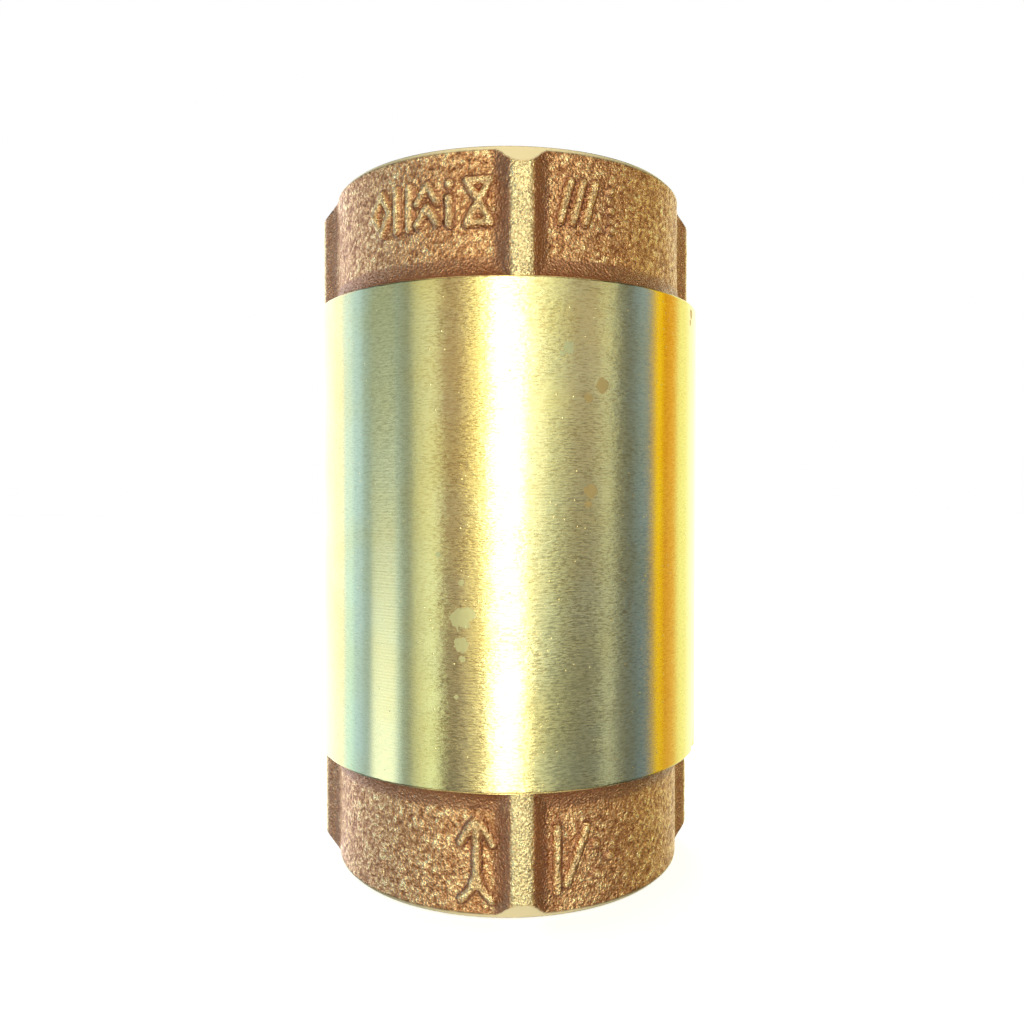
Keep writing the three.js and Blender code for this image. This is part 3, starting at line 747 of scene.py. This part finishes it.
def makeBody(size, wear):
    top, low, barrel, collar = size["high"], size["low"], size["barrel"], size["collar"]
    barrelTop, fillet, tall, rim, edge = [size[k] for k in ("barrelTop", "fillet", "filletTall", "rim", "edge")]
    outline = [(size["bore"], low), (size["bore"] + 1, low), (barrel - edge - 0.1, low)]
    outline += bend((barrel - edge, low + edge), edge, 270, 360, 4)
    outline += [(barrel, low + edge + 0.06), (barrel, low + edge + 0.2)]
    outline += run((barrel, low + 1), (barrel, barrelTop - 1), size["barrelStep"])
    outline += [(barrel, barrelTop - 1), (barrel, barrelTop - edge - 0.2), (barrel, barrelTop - edge - 0.06)]
    outline += bend((barrel - edge, barrelTop - edge), edge, 0, 90, 3)[:-1]
    for radius, level in bend((collar + fillet, fillet), fillet, 270, 180, 16):
        outline.append((radius, barrelTop + level * tall))
    outline += run((collar, barrelTop + fillet * tall + 0.2), (collar, top - rim), size["rowStep"])
    outline += run((collar, top - rim), (collar - rim, top), 0.14)
    outline += run((collar - rim, top), (size["threadBore"], top), 0.8)
    outline += eased([
        (size["threadBore"], top, 0), (size["threadBore"], top - size["threadDepth"], 0),
        (size["throat"], top - size["threadDepth"], 0.3), (size["throat"], size["throatLevel"], 0.6),
        (size["guideBore"], size["guideLevel"], 0.3), (size["bore"], size["guideLevel"], 0.2),
        (size["bore"], low, 0)], 0.3, 2)[:-1]
    plain = castShape(upperMarks, top, barrelTop + 0.02, top, barrelTop)
    turns = np.linspace(-math.pi, math.pi, 181)
    ragged = np.random.default_rng(wear["seed"]).normal(0, wear["wave"], 181)
    ragged[-1] = ragged[0]

    def worn(radius, level, angles):  # slightly wavy barrel edges, one corner of them knocked off
        radius, level = plain(radius, level, angles)
        worn.cut, worn.raised, worn.corner = plain.cut, plain.raised, plain.corner
        nearEnd = (level < low + edge + 0.03) | (np.abs(level - barrelTop) < edge + 0.03)
        level = np.where((radius > barrel - 0.3) & nearEnd, level + np.interp(angles, turns, ragged), level)
        chip = np.hypot((angles - math.radians(wear["chipAngle"])) * barrel, level - low) / wear["chipSize"]
        atChip = (radius > barrel - 0.7) & (level < low + 1.2)
        return np.where(atChip, radius - wear["chipDepth"] * np.exp(-chip ** 2 * 2), radius), level
    piece = makeCasting("valveBody", outline, worn, barrelTop + 0.02, top)
    fasten(piece, "valve_body", "turned_bronze", "body")


makeBody(bodySize, edgeWear)
print("body made")

endSize = {
    "collar": 25.4, "collarTop": 16.75, "fillet": 2.5, "filletTall": 1.5, "spigot": 24.0, "spigotTop": 37.0,
    "seat": 38.0, "orifice": 15.6, "guideBore": 16.6, "guideTop": 28.1, "grooveLow": 19.6, "grooveHigh": 22.5,
    "groove": 21.95, "snapLow": 22.3, "snapHigh": 23.8, "snap": 17.4, "threadBore": 21.85, "threadDepth": 18.55,
    "rowStep": 0.21, "rim": 0.55}


def makeBodyEnd(size):
    rim, fillet, top = size["rim"], size["fillet"], size["collarTop"]
    outline = run((size["threadBore"], 0), (size["collar"] - rim, 0), 0.8)
    outline += run((size["collar"] - rim, 0), (size["collar"], rim), 0.14)
    tall = size["filletTall"]
    outline += run((size["collar"], rim), (size["collar"], top - fillet * tall - 0.2), size["rowStep"])
    outline += [(r, top - z * tall) for r, z in bend((size["collar"] + fillet, fillet), fillet, 180, 270, 16)]
    inside = [
        (size["collar"] + fillet, top, 0), (size["spigot"], top, 0), (size["spigot"], size["grooveLow"], 0),
        (size["groove"], size["grooveLow"], 0), (size["groove"], size["grooveHigh"], 0),
        (size["spigot"], size["grooveHigh"], 0), (size["spigot"], size["spigotTop"] - 1, 0),
        (size["spigot"] - 1, size["spigotTop"], 0.3), (18.0, size["spigotTop"], 0.3), (16.5, size["seat"], 0.2),
        (size["orifice"] + 0.25, size["seat"], 0.15), (size["orifice"], size["seat"] - 0.5, 0.2),
        (size["orifice"], size["guideTop"], 0.2), (size["guideBore"], size["guideTop"], 0.2),
        (size["guideBore"], size["snapHigh"], 0.1), (size["snap"], size["snapHigh"], 0.1),
        (size["snap"], size["snapLow"], 0.1), (size["guideBore"], size["snapLow"], 0.1),
        (size["guideBore"], size["threadDepth"], 0.4), (size["threadBore"], size["threadDepth"], 0),
        (size["threadBore"], 0, 0)]
    outline += eased(inside, 0.3, 2)[1:-1]
    shape = castShape(lowerMarks, 0.0, 0.0, top - 0.02, top)
    piece = makeCasting("inletEnd", outline, shape, 0.0, top - 0.02)
    fasten(piece, "valve_body", "cast_bronze", "body_end")


makeBodyEnd(endSize)
print("inlet end made")

# Pipe threads, 1-1/4 inch, 11.5 to the inch, tapered 1 in 16 on the diameter; one right-hand helix each
threadValues = {
    "Pitch": 2.209, "Root Radius": 20.99, "Tooth": 1.7, "Taper": 0.03125, "Depth": 18.5, "Mouth Radius": 21.5,
    "Wall Radius": 21.9, "Rows Per Turn": 12, "Columns": 220, "Sink": 0.02}


def makeThreadTree():
    tree, given = newTree("pipeThread", threadValues)
    turns = addNode(tree, "ShaderNodeMath", given["Depth"], given["Pitch"], operation="DIVIDE")
    turns = addNode(tree, "ShaderNodeMath", turns, operation="CEIL")
    threadRows = addNode(
        tree, "ShaderNodeMath", addNode(tree, "ShaderNodeMath", turns, 1.0, operation="ADD"),
        given["Rows Per Turn"], operation="MULTIPLY")
    rows = addNode(tree, "ShaderNodeMath", threadRows, 4.0, operation="ADD")
    columns = addNode(tree, "ShaderNodeMath", given["Columns"], 1, operation="ADD")
    grid = addNode(
        tree, "GeometryNodeMeshGrid", {"Size X": 1, "Size Y": 1, "Vertices X": columns, "Vertices Y": rows})
    index = addNode(tree, "GeometryNodeInputIndex")
    column = addNode(
        tree, "ShaderNodeMath", addNode(
            tree, "ShaderNodeMath", addNode(tree, "ShaderNodeMath", index, 0.01, operation="ADD"), rows,
            operation="DIVIDE"),
        operation="FLOOR")
    row = addNode(
        tree, "ShaderNodeMath", index, addNode(tree, "ShaderNodeMath", column, rows, operation="MULTIPLY"),
        operation="SUBTRACT")
    turn = addNode(tree, "ShaderNodeMath", column, given["Columns"], operation="DIVIDE")
    along = addNode(tree, "ShaderNodeMath", row, given["Rows Per Turn"], operation="DIVIDE")
    rise = addNode(
        tree, "ShaderNodeMath", addNode(
            tree, "ShaderNodeMath", addNode(tree, "ShaderNodeMath", along, turn, operation="ADD"), 1.0,
            operation="SUBTRACT"),
        given["Pitch"], operation="MULTIPLY")
    depth = addNode(
        tree, "ShaderNodeMath", addNode(tree, "ShaderNodeMath", rise, 0.0, operation="MAXIMUM"), given["Depth"],
        operation="MINIMUM")
    phase = addNode(
        tree, "ShaderNodeMath", addNode(tree, "ShaderNodeMath", depth, given["Pitch"], operation="DIVIDE"), turn,
        operation="SUBTRACT")
    away = addNode(
        tree, "ShaderNodeMath", addNode(
            tree, "ShaderNodeMath", addNode(tree, "ShaderNodeMath", phase, operation="FRACT"), 0.5,
            operation="SUBTRACT"),
        operation="ABSOLUTE")
    tooth = addNode(tree, "ShaderNodeMapRange", away, 0.06, 0.45)
    left = addNode(tree, "ShaderNodeMath", given["Depth"], depth, operation="SUBTRACT")
    shallow = addNode(tree, "ShaderNodeMapRange", left, 0.4, 4.5)
    crest = addNode(tree, "ShaderNodeMath", given["Root Radius"], given["Tooth"], operation="SUBTRACT")
    cutDepth = addNode(
        tree, "ShaderNodeMath", addNode(tree, "ShaderNodeMath", given["Tooth"], tooth, operation="MULTIPLY"),
        shallow, operation="MULTIPLY")
    drop = addNode(tree, "ShaderNodeMath", depth, given["Taper"], operation="MULTIPLY")
    bore = addNode(
        tree, "ShaderNodeMath", addNode(tree, "ShaderNodeMath", crest, cutDepth, operation="ADD"), drop,
        operation="SUBTRACT")
    mouth = addNode(tree, "ShaderNodeMath", given["Mouth Radius"], depth, operation="SUBTRACT")
    inner = addNode(tree, "ShaderNodeMath", bore, mouth, operation="MAXIMUM")
    # the last four rows run over the far end, up the outer wall and back to the mouth
    past = addNode(tree, "ShaderNodeMath", row, threadRows, operation="SUBTRACT")
    isWall, isBack, isLast = [
        addNode(tree, "ShaderNodeMath", past, limit, operation="GREATER_THAN") for limit in (-0.5, 0.5, 2.5)]
    wallRadius, wallDepth = [
        addNode(tree, "GeometryNodeSwitch", {"Switch": test, "False": no, "True": yes}, input_type="FLOAT")
        for test, no, yes in (
            (isLast, given["Wall Radius"], given["Mouth Radius"]), (isBack, given["Depth"], 0.0))]
    radius, level = [
        addNode(tree, "GeometryNodeSwitch", {"Switch": isWall, "False": no, "True": yes}, input_type="FLOAT")
        for no, yes in ((inner, wallRadius), (depth, wallDepth))]
    level = addNode(tree, "ShaderNodeMath", level, given["Sink"], operation="ADD")
    place = placeRound(tree, radius, turn, level)
    moved = addNode(tree, "GeometryNodeSetPosition", {"Geometry": grid, "Position": place})
    welded = addNode(tree, "GeometryNodeMergeByDistance", {"Distance": 2e-06, "Geometry": moved})
    turned = addNode(tree, "GeometryNodeFlipFaces", welded)
    smooth = addNode(tree, "GeometryNodeSetShadeSmooth", {"Geometry": turned})
    real = addNode(tree, "GeometryNodeRealizeInstances", smooth)
    painted = addNode(tree, "GeometryNodeSetMaterial", {"Geometry": real, "Material": given["Material"]})
    addNode(tree, "NodeGroupOutput", painted)
    return tree


def makeThreads(values):
    tree = makeThreadTree()
    for name, upsideDown in (("inletThread", False), ("outletThread", True)):
        piece = makePiece(name, [(0, 0, 0)], [], [turnedBronze])
        addTree(piece, tree, values, turnedBronze)
        bakeNodes(piece)
        if upsideDown:
            piece.data.transform(Matrix.Translation((0, 0, cadHigh.z)) @ Matrix.Rotation(math.pi, 4, "X"))
        piece.data.set_sharp_from_angle(angle=math.radians(35))
        fasten(piece, "valve_body", "turned_bronze")


makeThreads(threadValues)

# O-ring between the two halves of the body
sealRing = {"radius": 23.15, "section": 1.05, "level": 21.05, "flash": 0.06}


def makeSealRing(size):
    outline = []
    for angle in np.radians(np.arange(-90, 270, 10)):
        reach = size["section"] + (size["flash"] if abs(math.sin(angle)) < 0.05 else 0)
        outline.append((size["radius"] + reach * math.cos(angle), size["level"] + reach * math.sin(angle)))
    piece = turnedPiece("bodySeal", outline, [nitrile])
    fasten(piece, "valve_body", "nitrile", "body_oring")


makeSealRing(sealRing)
print("threads and seal made")


# Guides: a rim, three legs and a hub, each one solid
def legMesh(size, bearing):  # a cast web: rounded in section and wider where it meets the hub and the rim
    inner, outer = size["hubRadius"] - 0.7, size["rimInner"] + 0.7
    rings = []
    for share in np.linspace(0, 1, 25):
        x = inner + (outer - inner) * share
        nearEnd = min(x - size["hubRadius"], size["rimInner"] - x)
        flare = 0.9 * math.exp(-max(nearEnd, 0) / 0.8)
        half = size["legWidth"] / 2 + flare
        low, high = size["legLow"], size["legHigh"]
        corner = min(0.8, (high - low) / 2 - 0.1)
        section = eased([(-half, low), (half, low), (half, high), (-half, high)], corner, 4, 0.01)
        rings.append([(x, y, z) for y, z in section])
    count = len(rings[0])
    points = np.array(rings).reshape(-1, 3)
    turn = math.radians(bearing)
    points = points @ np.array([
        [math.cos(turn), math.sin(turn), 0], [-math.sin(turn), math.cos(turn), 0], [0, 0, 1]])
    faces = []
    for i in range(len(rings) - 1):
        for j in range(count):
            k = (j + 1) % count
            faces.append((i * count + j, i * count + k, (i + 1) * count + k, (i + 1) * count + j))
    faces = [face[::-1] for face in faces]
    faces.append(list(range(count)))
    faces.append([len(points) - 1 - j for j in range(count)])
    return points, [face[::-1] for face in faces]


def joinSolids(name, first, others):  # one closed solid out of several that run into each other
    for other in others:
        cutter = first.modifiers.new("join", "BOOLEAN")
        cutter.operation = "UNION"
        cutter.solver = "EXACT"
        cutter.object = other
    bakeNodes(first)
    for other in others:
        bpy.data.objects.remove(other)
    first.name = name
    first.data.set_sharp_from_angle(angle=math.radians(40))
    return first


inletGuide = {
    "rimInner": 15.0, "rimOuter": 16.5, "low": 24.0, "rimHigh": 28.0, "hubRadius": 5.2, "hubBore": 3.9,
    "hubLow": 24.0, "hubHigh": 29.5, "legWidth": 2.6, "legLow": 24.4, "legHigh": 27.6}
outletGuide = {
    "rimInner": 21.6, "rimOuter": 24.1, "low": 62.0, "rimHigh": 65.9, "hubRadius": 6.0, "hubBore": 4.9,
    "hubLow": 60.2, "hubHigh": 67.6, "legWidth": 3.4, "legLow": 62.0, "legHigh": 65.5,
    "seatRadius": 10.8, "seatHigh": 64.0}


def makeGuide(name, size, node):
    rim = turnedPiece(name + "Rim", eased([
        (size["rimInner"], size["low"]), (size["rimOuter"], size["low"]), (size["rimOuter"], size["rimHigh"]),
        (size["rimInner"], size["rimHigh"])], 0.3), [turnedBronze])
    hubOutline = [(size["hubBore"], size["hubLow"]), (size["hubRadius"], size["hubLow"])]
    if "seatRadius" in size:
        hubOutline += [
            (size["hubRadius"], size["low"], 0.05), (size["seatRadius"], size["low"]),
            (size["seatRadius"], size["seatHigh"], 0.5), (size["hubRadius"], size["seatHigh"] + 1.0, 0.9)]
    hubOutline += [(size["hubRadius"], size["hubHigh"], 0.5), (size["hubBore"], size["hubHigh"], 0.3)]
    hub = turnedPiece(name + "Hub", eased(hubOutline, 0.3), [turnedBronze])
    webs = []
    for i in range(3):
        points, faces = legMesh(size, 90 + i * 120)
        webs.append(makePiece(name + "Leg", points, faces, [turnedBronze]))
    guide = joinSolids(name, rim, [hub, *webs])
    fasten(guide, "valve_body", "turned_bronze", node)


makeGuide("inletGuide", inletGuide, "inlet_guide")
makeGuide("outletGuide", outletGuide, "outlet_guide")

# Bushes pressed into the hubs; the outlet one has a flange below its hub
inletBush = {"bore": 2.48, "outer": 3.8, "low": 23.8, "high": 29.7}
outletBush = {"bore": 3.58, "outer": 4.8, "flange": 5.7, "low": 59.2, "flangeHigh": 60.1, "high": 68.4}


def makeBushes(inlet, outlet):
    piece = turnedPiece("inletBush", eased([
        (inlet["bore"], inlet["low"], 0.35), (inlet["outer"], inlet["low"], 0.2),
        (inlet["outer"], inlet["high"], 0.2), (inlet["bore"], inlet["high"], 0.35)]), [acetal])
    fasten(piece, "valve_body", "acetal", "inlet_bush")
    piece = turnedPiece("outletBush", eased([
        (outlet["bore"], outlet["low"], 0.35), (outlet["flange"], outlet["low"], 0.2),
        (outlet["flange"], outlet["flangeHigh"], 0.15), (outlet["outer"], outlet["flangeHigh"], 0.1),
        (outlet["outer"], outlet["high"], 0.2), (outlet["bore"], outlet["high"], 0.35)]), [acetal])
    fasten(piece, "valve_body", "acetal", "outlet_bush")


makeBushes(inletBush, outletBush)

# Retaining ring: a flat spring ring with a lug and a pliers hole at each end
retainingRing = {
    "inner": 15.5, "outer": 17.2, "low": 22.45, "thickness": 1.2, "opening": 7.0, "lug": 2.1, "hole": 0.85,
    "lugRadius": 14.9}


def makeRetainingRing(size):
    middle = (size["inner"] + size["outer"]) / 2
    lugTurn = math.asin((size["opening"] / 2 + size["lug"]) / size["lugRadius"])
    gapTurn = math.asin(size["opening"] / 2 / size["outer"])
    curve = bpy.data.curves.new("retainingRing", "CURVE")
    curve.dimensions = "2D"
    curve.fill_mode = "BOTH"
    curve.bevel_depth = 0.12 * mm
    curve.bevel_resolution = 2
    curve.extrude = (size["thickness"] / 2 - 0.12) * mm
    curve.offset = -0.12 * mm
    outer = [(size["outer"] * math.cos(a), size["outer"] * math.sin(a))
             for a in np.linspace(gapTurn, 2 * math.pi - gapTurn, 200)]
    inner = [(size["inner"] * math.cos(a), size["inner"] * math.sin(a))
             for a in np.linspace(2 * math.pi - lugTurn - 0.14, lugTurn + 0.14, 180)]
    ends = []
    for side in (-1, 1):
        centre = np.array([size["lugRadius"] * math.cos(lugTurn), side * size["lugRadius"] * math.sin(lugTurn)])
        face = math.atan2(centre[1], centre[0])
        sweep = np.linspace(face - side * 0.5 * math.pi, face - side * 1.5 * math.pi, 24)
        lug = [tuple(centre + size["lug"] * np.array([math.cos(a), math.sin(a)])) for a in sweep]
        ends.append(lug if side < 0 else lug[::-1])
        hole = [tuple(centre + size["hole"] * np.array([math.cos(a), math.sin(a)]))
                for a in np.linspace(0, 2 * math.pi, 32, endpoint=False)]
        addLoop(curve, hole)
    addLoop(curve, outer + ends[0][::-1] + inner + ends[1][::-1])
    shape = bpy.data.objects.new("retainingRingCurve", curve)
    bpy.context.scene.collection.objects.link(shape)
    bpy.context.view_layer.update()
    mesh = bpy.data.meshes.new_from_object(shape.evaluated_get(bpy.context.evaluated_depsgraph_get()))
    bpy.data.objects.remove(shape)
    mesh.transform(Matrix.Translation((0, 0, (size["low"] + size["thickness"] / 2) * mm)))
    weld = bmesh.new()
    weld.from_mesh(mesh)
    bmesh.ops.remove_doubles(weld, verts=weld.verts, dist=1e-6)
    bmesh.ops.recalc_face_normals(weld, faces=weld.faces)
    weld.to_mesh(mesh)
    weld.free()
    mesh.materials.clear()
    mesh.materials.append(stainless)
    mesh.set_sharp_from_angle(angle=math.radians(40))
    piece = bpy.data.objects.new("retainingRing", mesh)
    bpy.context.scene.collection.objects.link(piece)
    fasten(piece, "valve_body", "stainless", "inlet_ring")


def addLoop(curve, points):
    spline = curve.splines.new("POLY")
    spline.points.add(len(points) - 1)
    for point, (x, y) in zip(spline.points, points):
        point.co = (x * mm, y * mm, 0, 1)
    spline.use_cyclic_u = True


makeRetainingRing(retainingRing)
print("guides, bushes and retaining ring made")

# Poppet: stem, disc holder, rubber disc, retainer, lock washer and nut
stemSize = {
    "low": 17.5, "pilot": 2.4, "pilotTop": 29.6, "thread": 3.0, "threadPitch": 1.0, "threadDepth": 0.5,
    "collar": 5.2, "collarLow": 48.1, "collarHigh": 50.1, "shank": 3.5, "high": 69.8, "centreHole": 0.9}


def makeStem(size):
    hole = size["centreHole"]
    corners = eased([
        (0.02, size["low"] + hole, 0), (hole, size["low"], 0.05), (size["pilot"], size["low"], 0.6),
        (size["pilot"], size["pilotTop"], 0.2), (size["thread"], size["pilotTop"] + 0.6, 0.1)], 0.2)[1:-1]
    outline = [(0.02, size["low"] + hole)] + corners
    outline += run((size["thread"], size["pilotTop"] + 0.8), (size["thread"], size["collarLow"]), 0.1)
    outline += eased([
        (size["thread"], size["collarLow"], 0.05), (size["collar"], size["collarLow"], 0.25),
        (size["collar"], size["collarHigh"], 0.35), (size["shank"], size["collarHigh"], 0.3),
        (size["shank"], size["high"], 0.6), (hole, size["high"], 0.05),
        (0.02, size["high"] - hole, 0)], 0.2)[1:-1]

    def threaded(radius, level, angles):
        inside = smoothStep(size["pilotTop"] + 0.5, size["pilotTop"] + 1.3, level)
        inside = inside * (1 - smoothStep(size["collarLow"] - 1.0, size["collarLow"] - 0.4, level))
        onThread = np.abs(radius - size["thread"]) < 0.01
        tooth = vee((level - angles / (2 * math.pi) * size["threadPitch"]) / size["threadPitch"])
        return radius - onThread * inside * tooth * size["threadDepth"], level
    piece = turnedPiece("valveStem", outline, [stainless], np.arange(96) * 2 * math.pi / 96, threaded)
    fasten(piece, "poppet", "stainless", "stem")


makeStem(stemSize)

holderSize = {
    "hole": 3.1, "floor": 41.35, "cup": 19.0, "low": 39.2, "outer": 19.8, "top": 44.3, "hub": 6.6,
    "hubTop": 48.0, "edge": 1.2, "root": 1.0, "groove": 0.15}
discSize = {"hole": 3.1, "outer": 18.9, "low": 38.05, "thickness": 3.2, "seatMark": 16.2, "markDepth": 0.14}
retainerSize = {"hole": 3.1, "outer": 14.6, "low": 35.95, "high": 37.95, "dish": 0.25}


def makePoppetPlates(holder, disc, retainer):
    outline = eased([
        (holder["hole"], holder["floor"], 0.2), (holder["cup"], holder["floor"], 0.2),
        (holder["cup"], holder["low"], 0.2), (holder["outer"], holder["low"], 0.2),
        (holder["outer"], holder["top"], holder["edge"]), (holder["hub"], holder["top"], holder["root"]),
        (holder["hub"], holder["hubTop"], 0.5), (holder["hole"], holder["hubTop"], 0.3)], 0.3, 6)
    piece = turnedPiece("discHolder", outline, [turnedBronze])
    fasten(piece, "poppet", "turned_bronze", "disc_holder")
    mark, top = disc["seatMark"], disc["low"] + disc["thickness"]
    outline = eased([
        (disc["hole"], disc["low"], 0.1), (mark - 0.9, disc["low"], 0.3),
        (mark - 0.3, disc["low"] + disc["markDepth"]), (mark + 0.3, disc["low"] + disc["markDepth"]),
        (mark + 0.9, disc["low"], 0.3),
        (disc["outer"], disc["low"], 0.35), (disc["outer"], top, 0.3), (disc["hole"], top, 0.1)], 0.25)
    piece = turnedPiece("seatDisc", outline, [nitrile])
    fasten(piece, "poppet", "nitrile", "seat_disc")
    outline = eased([
        (retainer["hole"], retainer["low"], 0.15), (retainer["outer"] - 2.0, retainer["low"], 0.6),
        (retainer["outer"], retainer["low"] + retainer["dish"], 0.3),
        (retainer["outer"], retainer["high"], 0.15), (retainer["hole"], retainer["high"], 0.15)], 0.25)
    piece = turnedPiece("discRetainer", outline, [stainless])
    fasten(piece, "poppet", "stainless", "disc_retainer")


makePoppetPlates(holderSize, discSize, retainerSize)

lockSize = {"inner": 3.1, "outer": 5.4, "low": 34.45, "high": 35.85, "gap": 8.0, "offset": 0.12}


def makeLockWasher(size):
    low, high = size["low"] + size["offset"], size["high"] - size["offset"]
    section = [(size["inner"], low), (size["outer"], low), (size["outer"], high), (size["inner"], high)]
    section = eased(section, 0.12, 3, 0.04)
    turns = np.radians(np.linspace(size["gap"] / 2, 360 - size["gap"] / 2, 90))
    rings = []
    for share, turn in zip(np.linspace(-1, 1, len(turns)), turns):
        rings.append([(r * math.cos(turn), r * math.sin(turn), z + share * size["offset"]) for r, z in section])
    count = len(section)
    faces = []
    for i in range(len(rings) - 1):
        for j in range(count):
            k = (j + 1) % count
            faces.append((i * count + j, (i + 1) * count + j, (i + 1) * count + k, i * count + k))
    last = (len(rings) - 1) * count
    faces.append(list(range(count)))
    faces.append([last + count - 1 - j for j in range(count)])
    piece = makePiece("lockWasher", np.array(rings).reshape(-1, 3), faces, [stainless])
    piece.data.set_sharp_from_angle(angle=math.radians(50))
    fasten(piece, "poppet", "stainless", "lock_washer")


makeLockWasher(lockSize)

nutSize = {"hole": 3.1, "flats": 10.0, "low": 30.4, "high": 34.4, "edge": 0.25, "lead": 0.45}


def makeNut(size):
    corner = size["flats"] / math.sqrt(3)
    lead = size["lead"]
    outline = run((size["hole"] + lead, size["low"]), (corner, size["low"]), 0.6)
    outline += run((corner, size["low"]), (corner, size["high"]), 0.12)
    outline += run((corner, size["high"]), (size["hole"] + lead, size["high"]), 0.6)
    outline += run((size["hole"] + lead, size["high"]), (size["hole"], size["high"] - lead), 0.15)
    outline += run((size["hole"], size["high"] - lead), (size["hole"], size["low"] + lead), 0.5)
    outline += run((size["hole"], size["low"] + lead), (size["hole"] + lead, size["low"]), 0.15)

    def hexagon(radius, level, angles):
        turn = (angles + math.pi / 6) % (math.pi / 3) - math.pi / 6
        flat = -softMax(-size["flats"] / 2 / np.cos(turn), -(corner - 0.1) + 0 * turn, size["edge"])
        nearFace = np.minimum(level - size["low"], size["high"] - level)
        edge = np.minimum(flat, size["flats"] / 2 - 0.1 + nearFace * 1.9)
        share = (radius - size["hole"]) / (corner - size["hole"])
        return size["hole"] + share * (edge - size["hole"]), level
    angles = np.arange(180) * 2 * math.pi / 180
    piece = turnedPiece("stemNut", outline, [stainless], angles, hexagon)
    piece.data.set_sharp_from_angle(angle=math.radians(25))
    fasten(piece, "poppet", "stainless", "stem_nut")


makeNut(nutSize)

# Spring and the washer it stands on; they follow the poppet up but don't turn with it
washerSize = {"inner": 7.8, "outer": 10.6, "low": 44.4, "high": 45.2}
springValues = {
    "Coil Radius": 9.0, "Wire Diameter": 1.0, "Low": 45.3, "High": 61.9, "Active Turns": 5, "End Turns": 1,
    "Closed Pitch": 1.04, "Steps Per Turn": 72, "Wire Sides": 20}


def makeSpringTree():
    tree, given = newTree("coilSpring", springValues)
    turns = addNode(
        tree, "ShaderNodeMath", given["Active Turns"],
        addNode(tree, "ShaderNodeMath", given["End Turns"], 2, operation="MULTIPLY"), operation="ADD")
    count = addNode(tree, "ShaderNodeMath", turns, given["Steps Per Turn"], 1, operation="MULTIPLY_ADD")
    line = addNode(tree, "GeometryNodeCurvePrimitiveLine")
    fine = addNode(tree, "GeometryNodeResampleCurve", {"Curve": line, "Count": count})
    share = addNode(tree, "GeometryNodeSplineParameter").outputs["Factor"]
    done = addNode(tree, "ShaderNodeMath", share, turns, operation="MULTIPLY")
    half = addNode(tree, "ShaderNodeMath", given["Wire Diameter"], 2, operation="DIVIDE")
    low = addNode(tree, "ShaderNodeMath", given["Low"], half, operation="ADD")
    high = addNode(tree, "ShaderNodeMath", given["High"], half, operation="SUBTRACT")
    closed = addNode(
        tree, "ShaderNodeMath", addNode(tree, "ShaderNodeMath", given["End Turns"], 2, operation="MULTIPLY"),
        given["Closed Pitch"], operation="MULTIPLY")
    openRise = addNode(
        tree, "ShaderNodeMath", addNode(tree, "ShaderNodeMath", high, low, operation="SUBTRACT"), closed,
        operation="SUBTRACT")
    openDone = addNode(tree, "ShaderNodeMath", done, given["End Turns"], operation="SUBTRACT")
    openDone = addNode(tree, "ShaderNodeMath", openDone, 0.0, operation="MAXIMUM")
    openDone = addNode(tree, "ShaderNodeMath", openDone, given["Active Turns"], operation="MINIMUM")
    closedDone = addNode(tree, "ShaderNodeMath", done, openDone, operation="SUBTRACT")
    rise = addNode(
        tree, "ShaderNodeMath",
        addNode(tree, "ShaderNodeMath", closedDone, given["Closed Pitch"], operation="MULTIPLY"),
        addNode(
            tree, "ShaderNodeMath", addNode(tree, "ShaderNodeMath", openDone, openRise, operation="MULTIPLY"),
            given["Active Turns"], operation="DIVIDE"),
        operation="ADD")
    level = addNode(tree, "ShaderNodeMath", low, rise, operation="ADD")
    place = placeRound(tree, given["Coil Radius"], done, level)
    coil = addNode(tree, "GeometryNodeSetPosition", {"Geometry": fine, "Position": place})
    wire = addNode(
        tree, "GeometryNodeCurvePrimitiveCircle", {
            "Resolution": given["Wire Sides"],
            "Radius": addNode(tree, "ShaderNodeMath", half, mm, operation="MULTIPLY")})
    tube = addNode(tree, "GeometryNodeCurveToMesh", {"Curve": coil, "Profile Curve": wire, "Fill Caps": True})
    smooth = addNode(tree, "GeometryNodeSetShadeSmooth", {"Geometry": tube})
    real = addNode(tree, "GeometryNodeRealizeInstances", smooth)
    painted = addNode(tree, "GeometryNodeSetMaterial", {"Geometry": real, "Material": given["Material"]})
    addNode(tree, "NodeGroupOutput", painted)
    return tree


def makeSpring(values, washer):
    piece = turnedPiece("springWasher", eased([
        (washer["inner"], washer["low"]), (washer["outer"], washer["low"]), (washer["outer"], washer["high"]),
        (washer["inner"], washer["high"])], 0.15), [stainless])
    fasten(piece, "spring_follower", "stainless", "spring_washer")
    spring = makePiece("poppetSpring", [(0, 0, 0)], [], [springSteel])
    addTree(spring, makeSpringTree(), values, springSteel)
    bakeNodes(spring)
    spring.data.set_sharp_from_angle(angle=math.radians(60))
    fasten(spring, "spring_follower", "spring_wire", "spring")
    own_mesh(spring)


makeSpring(springValues, washerSize)
print("poppet and spring made")
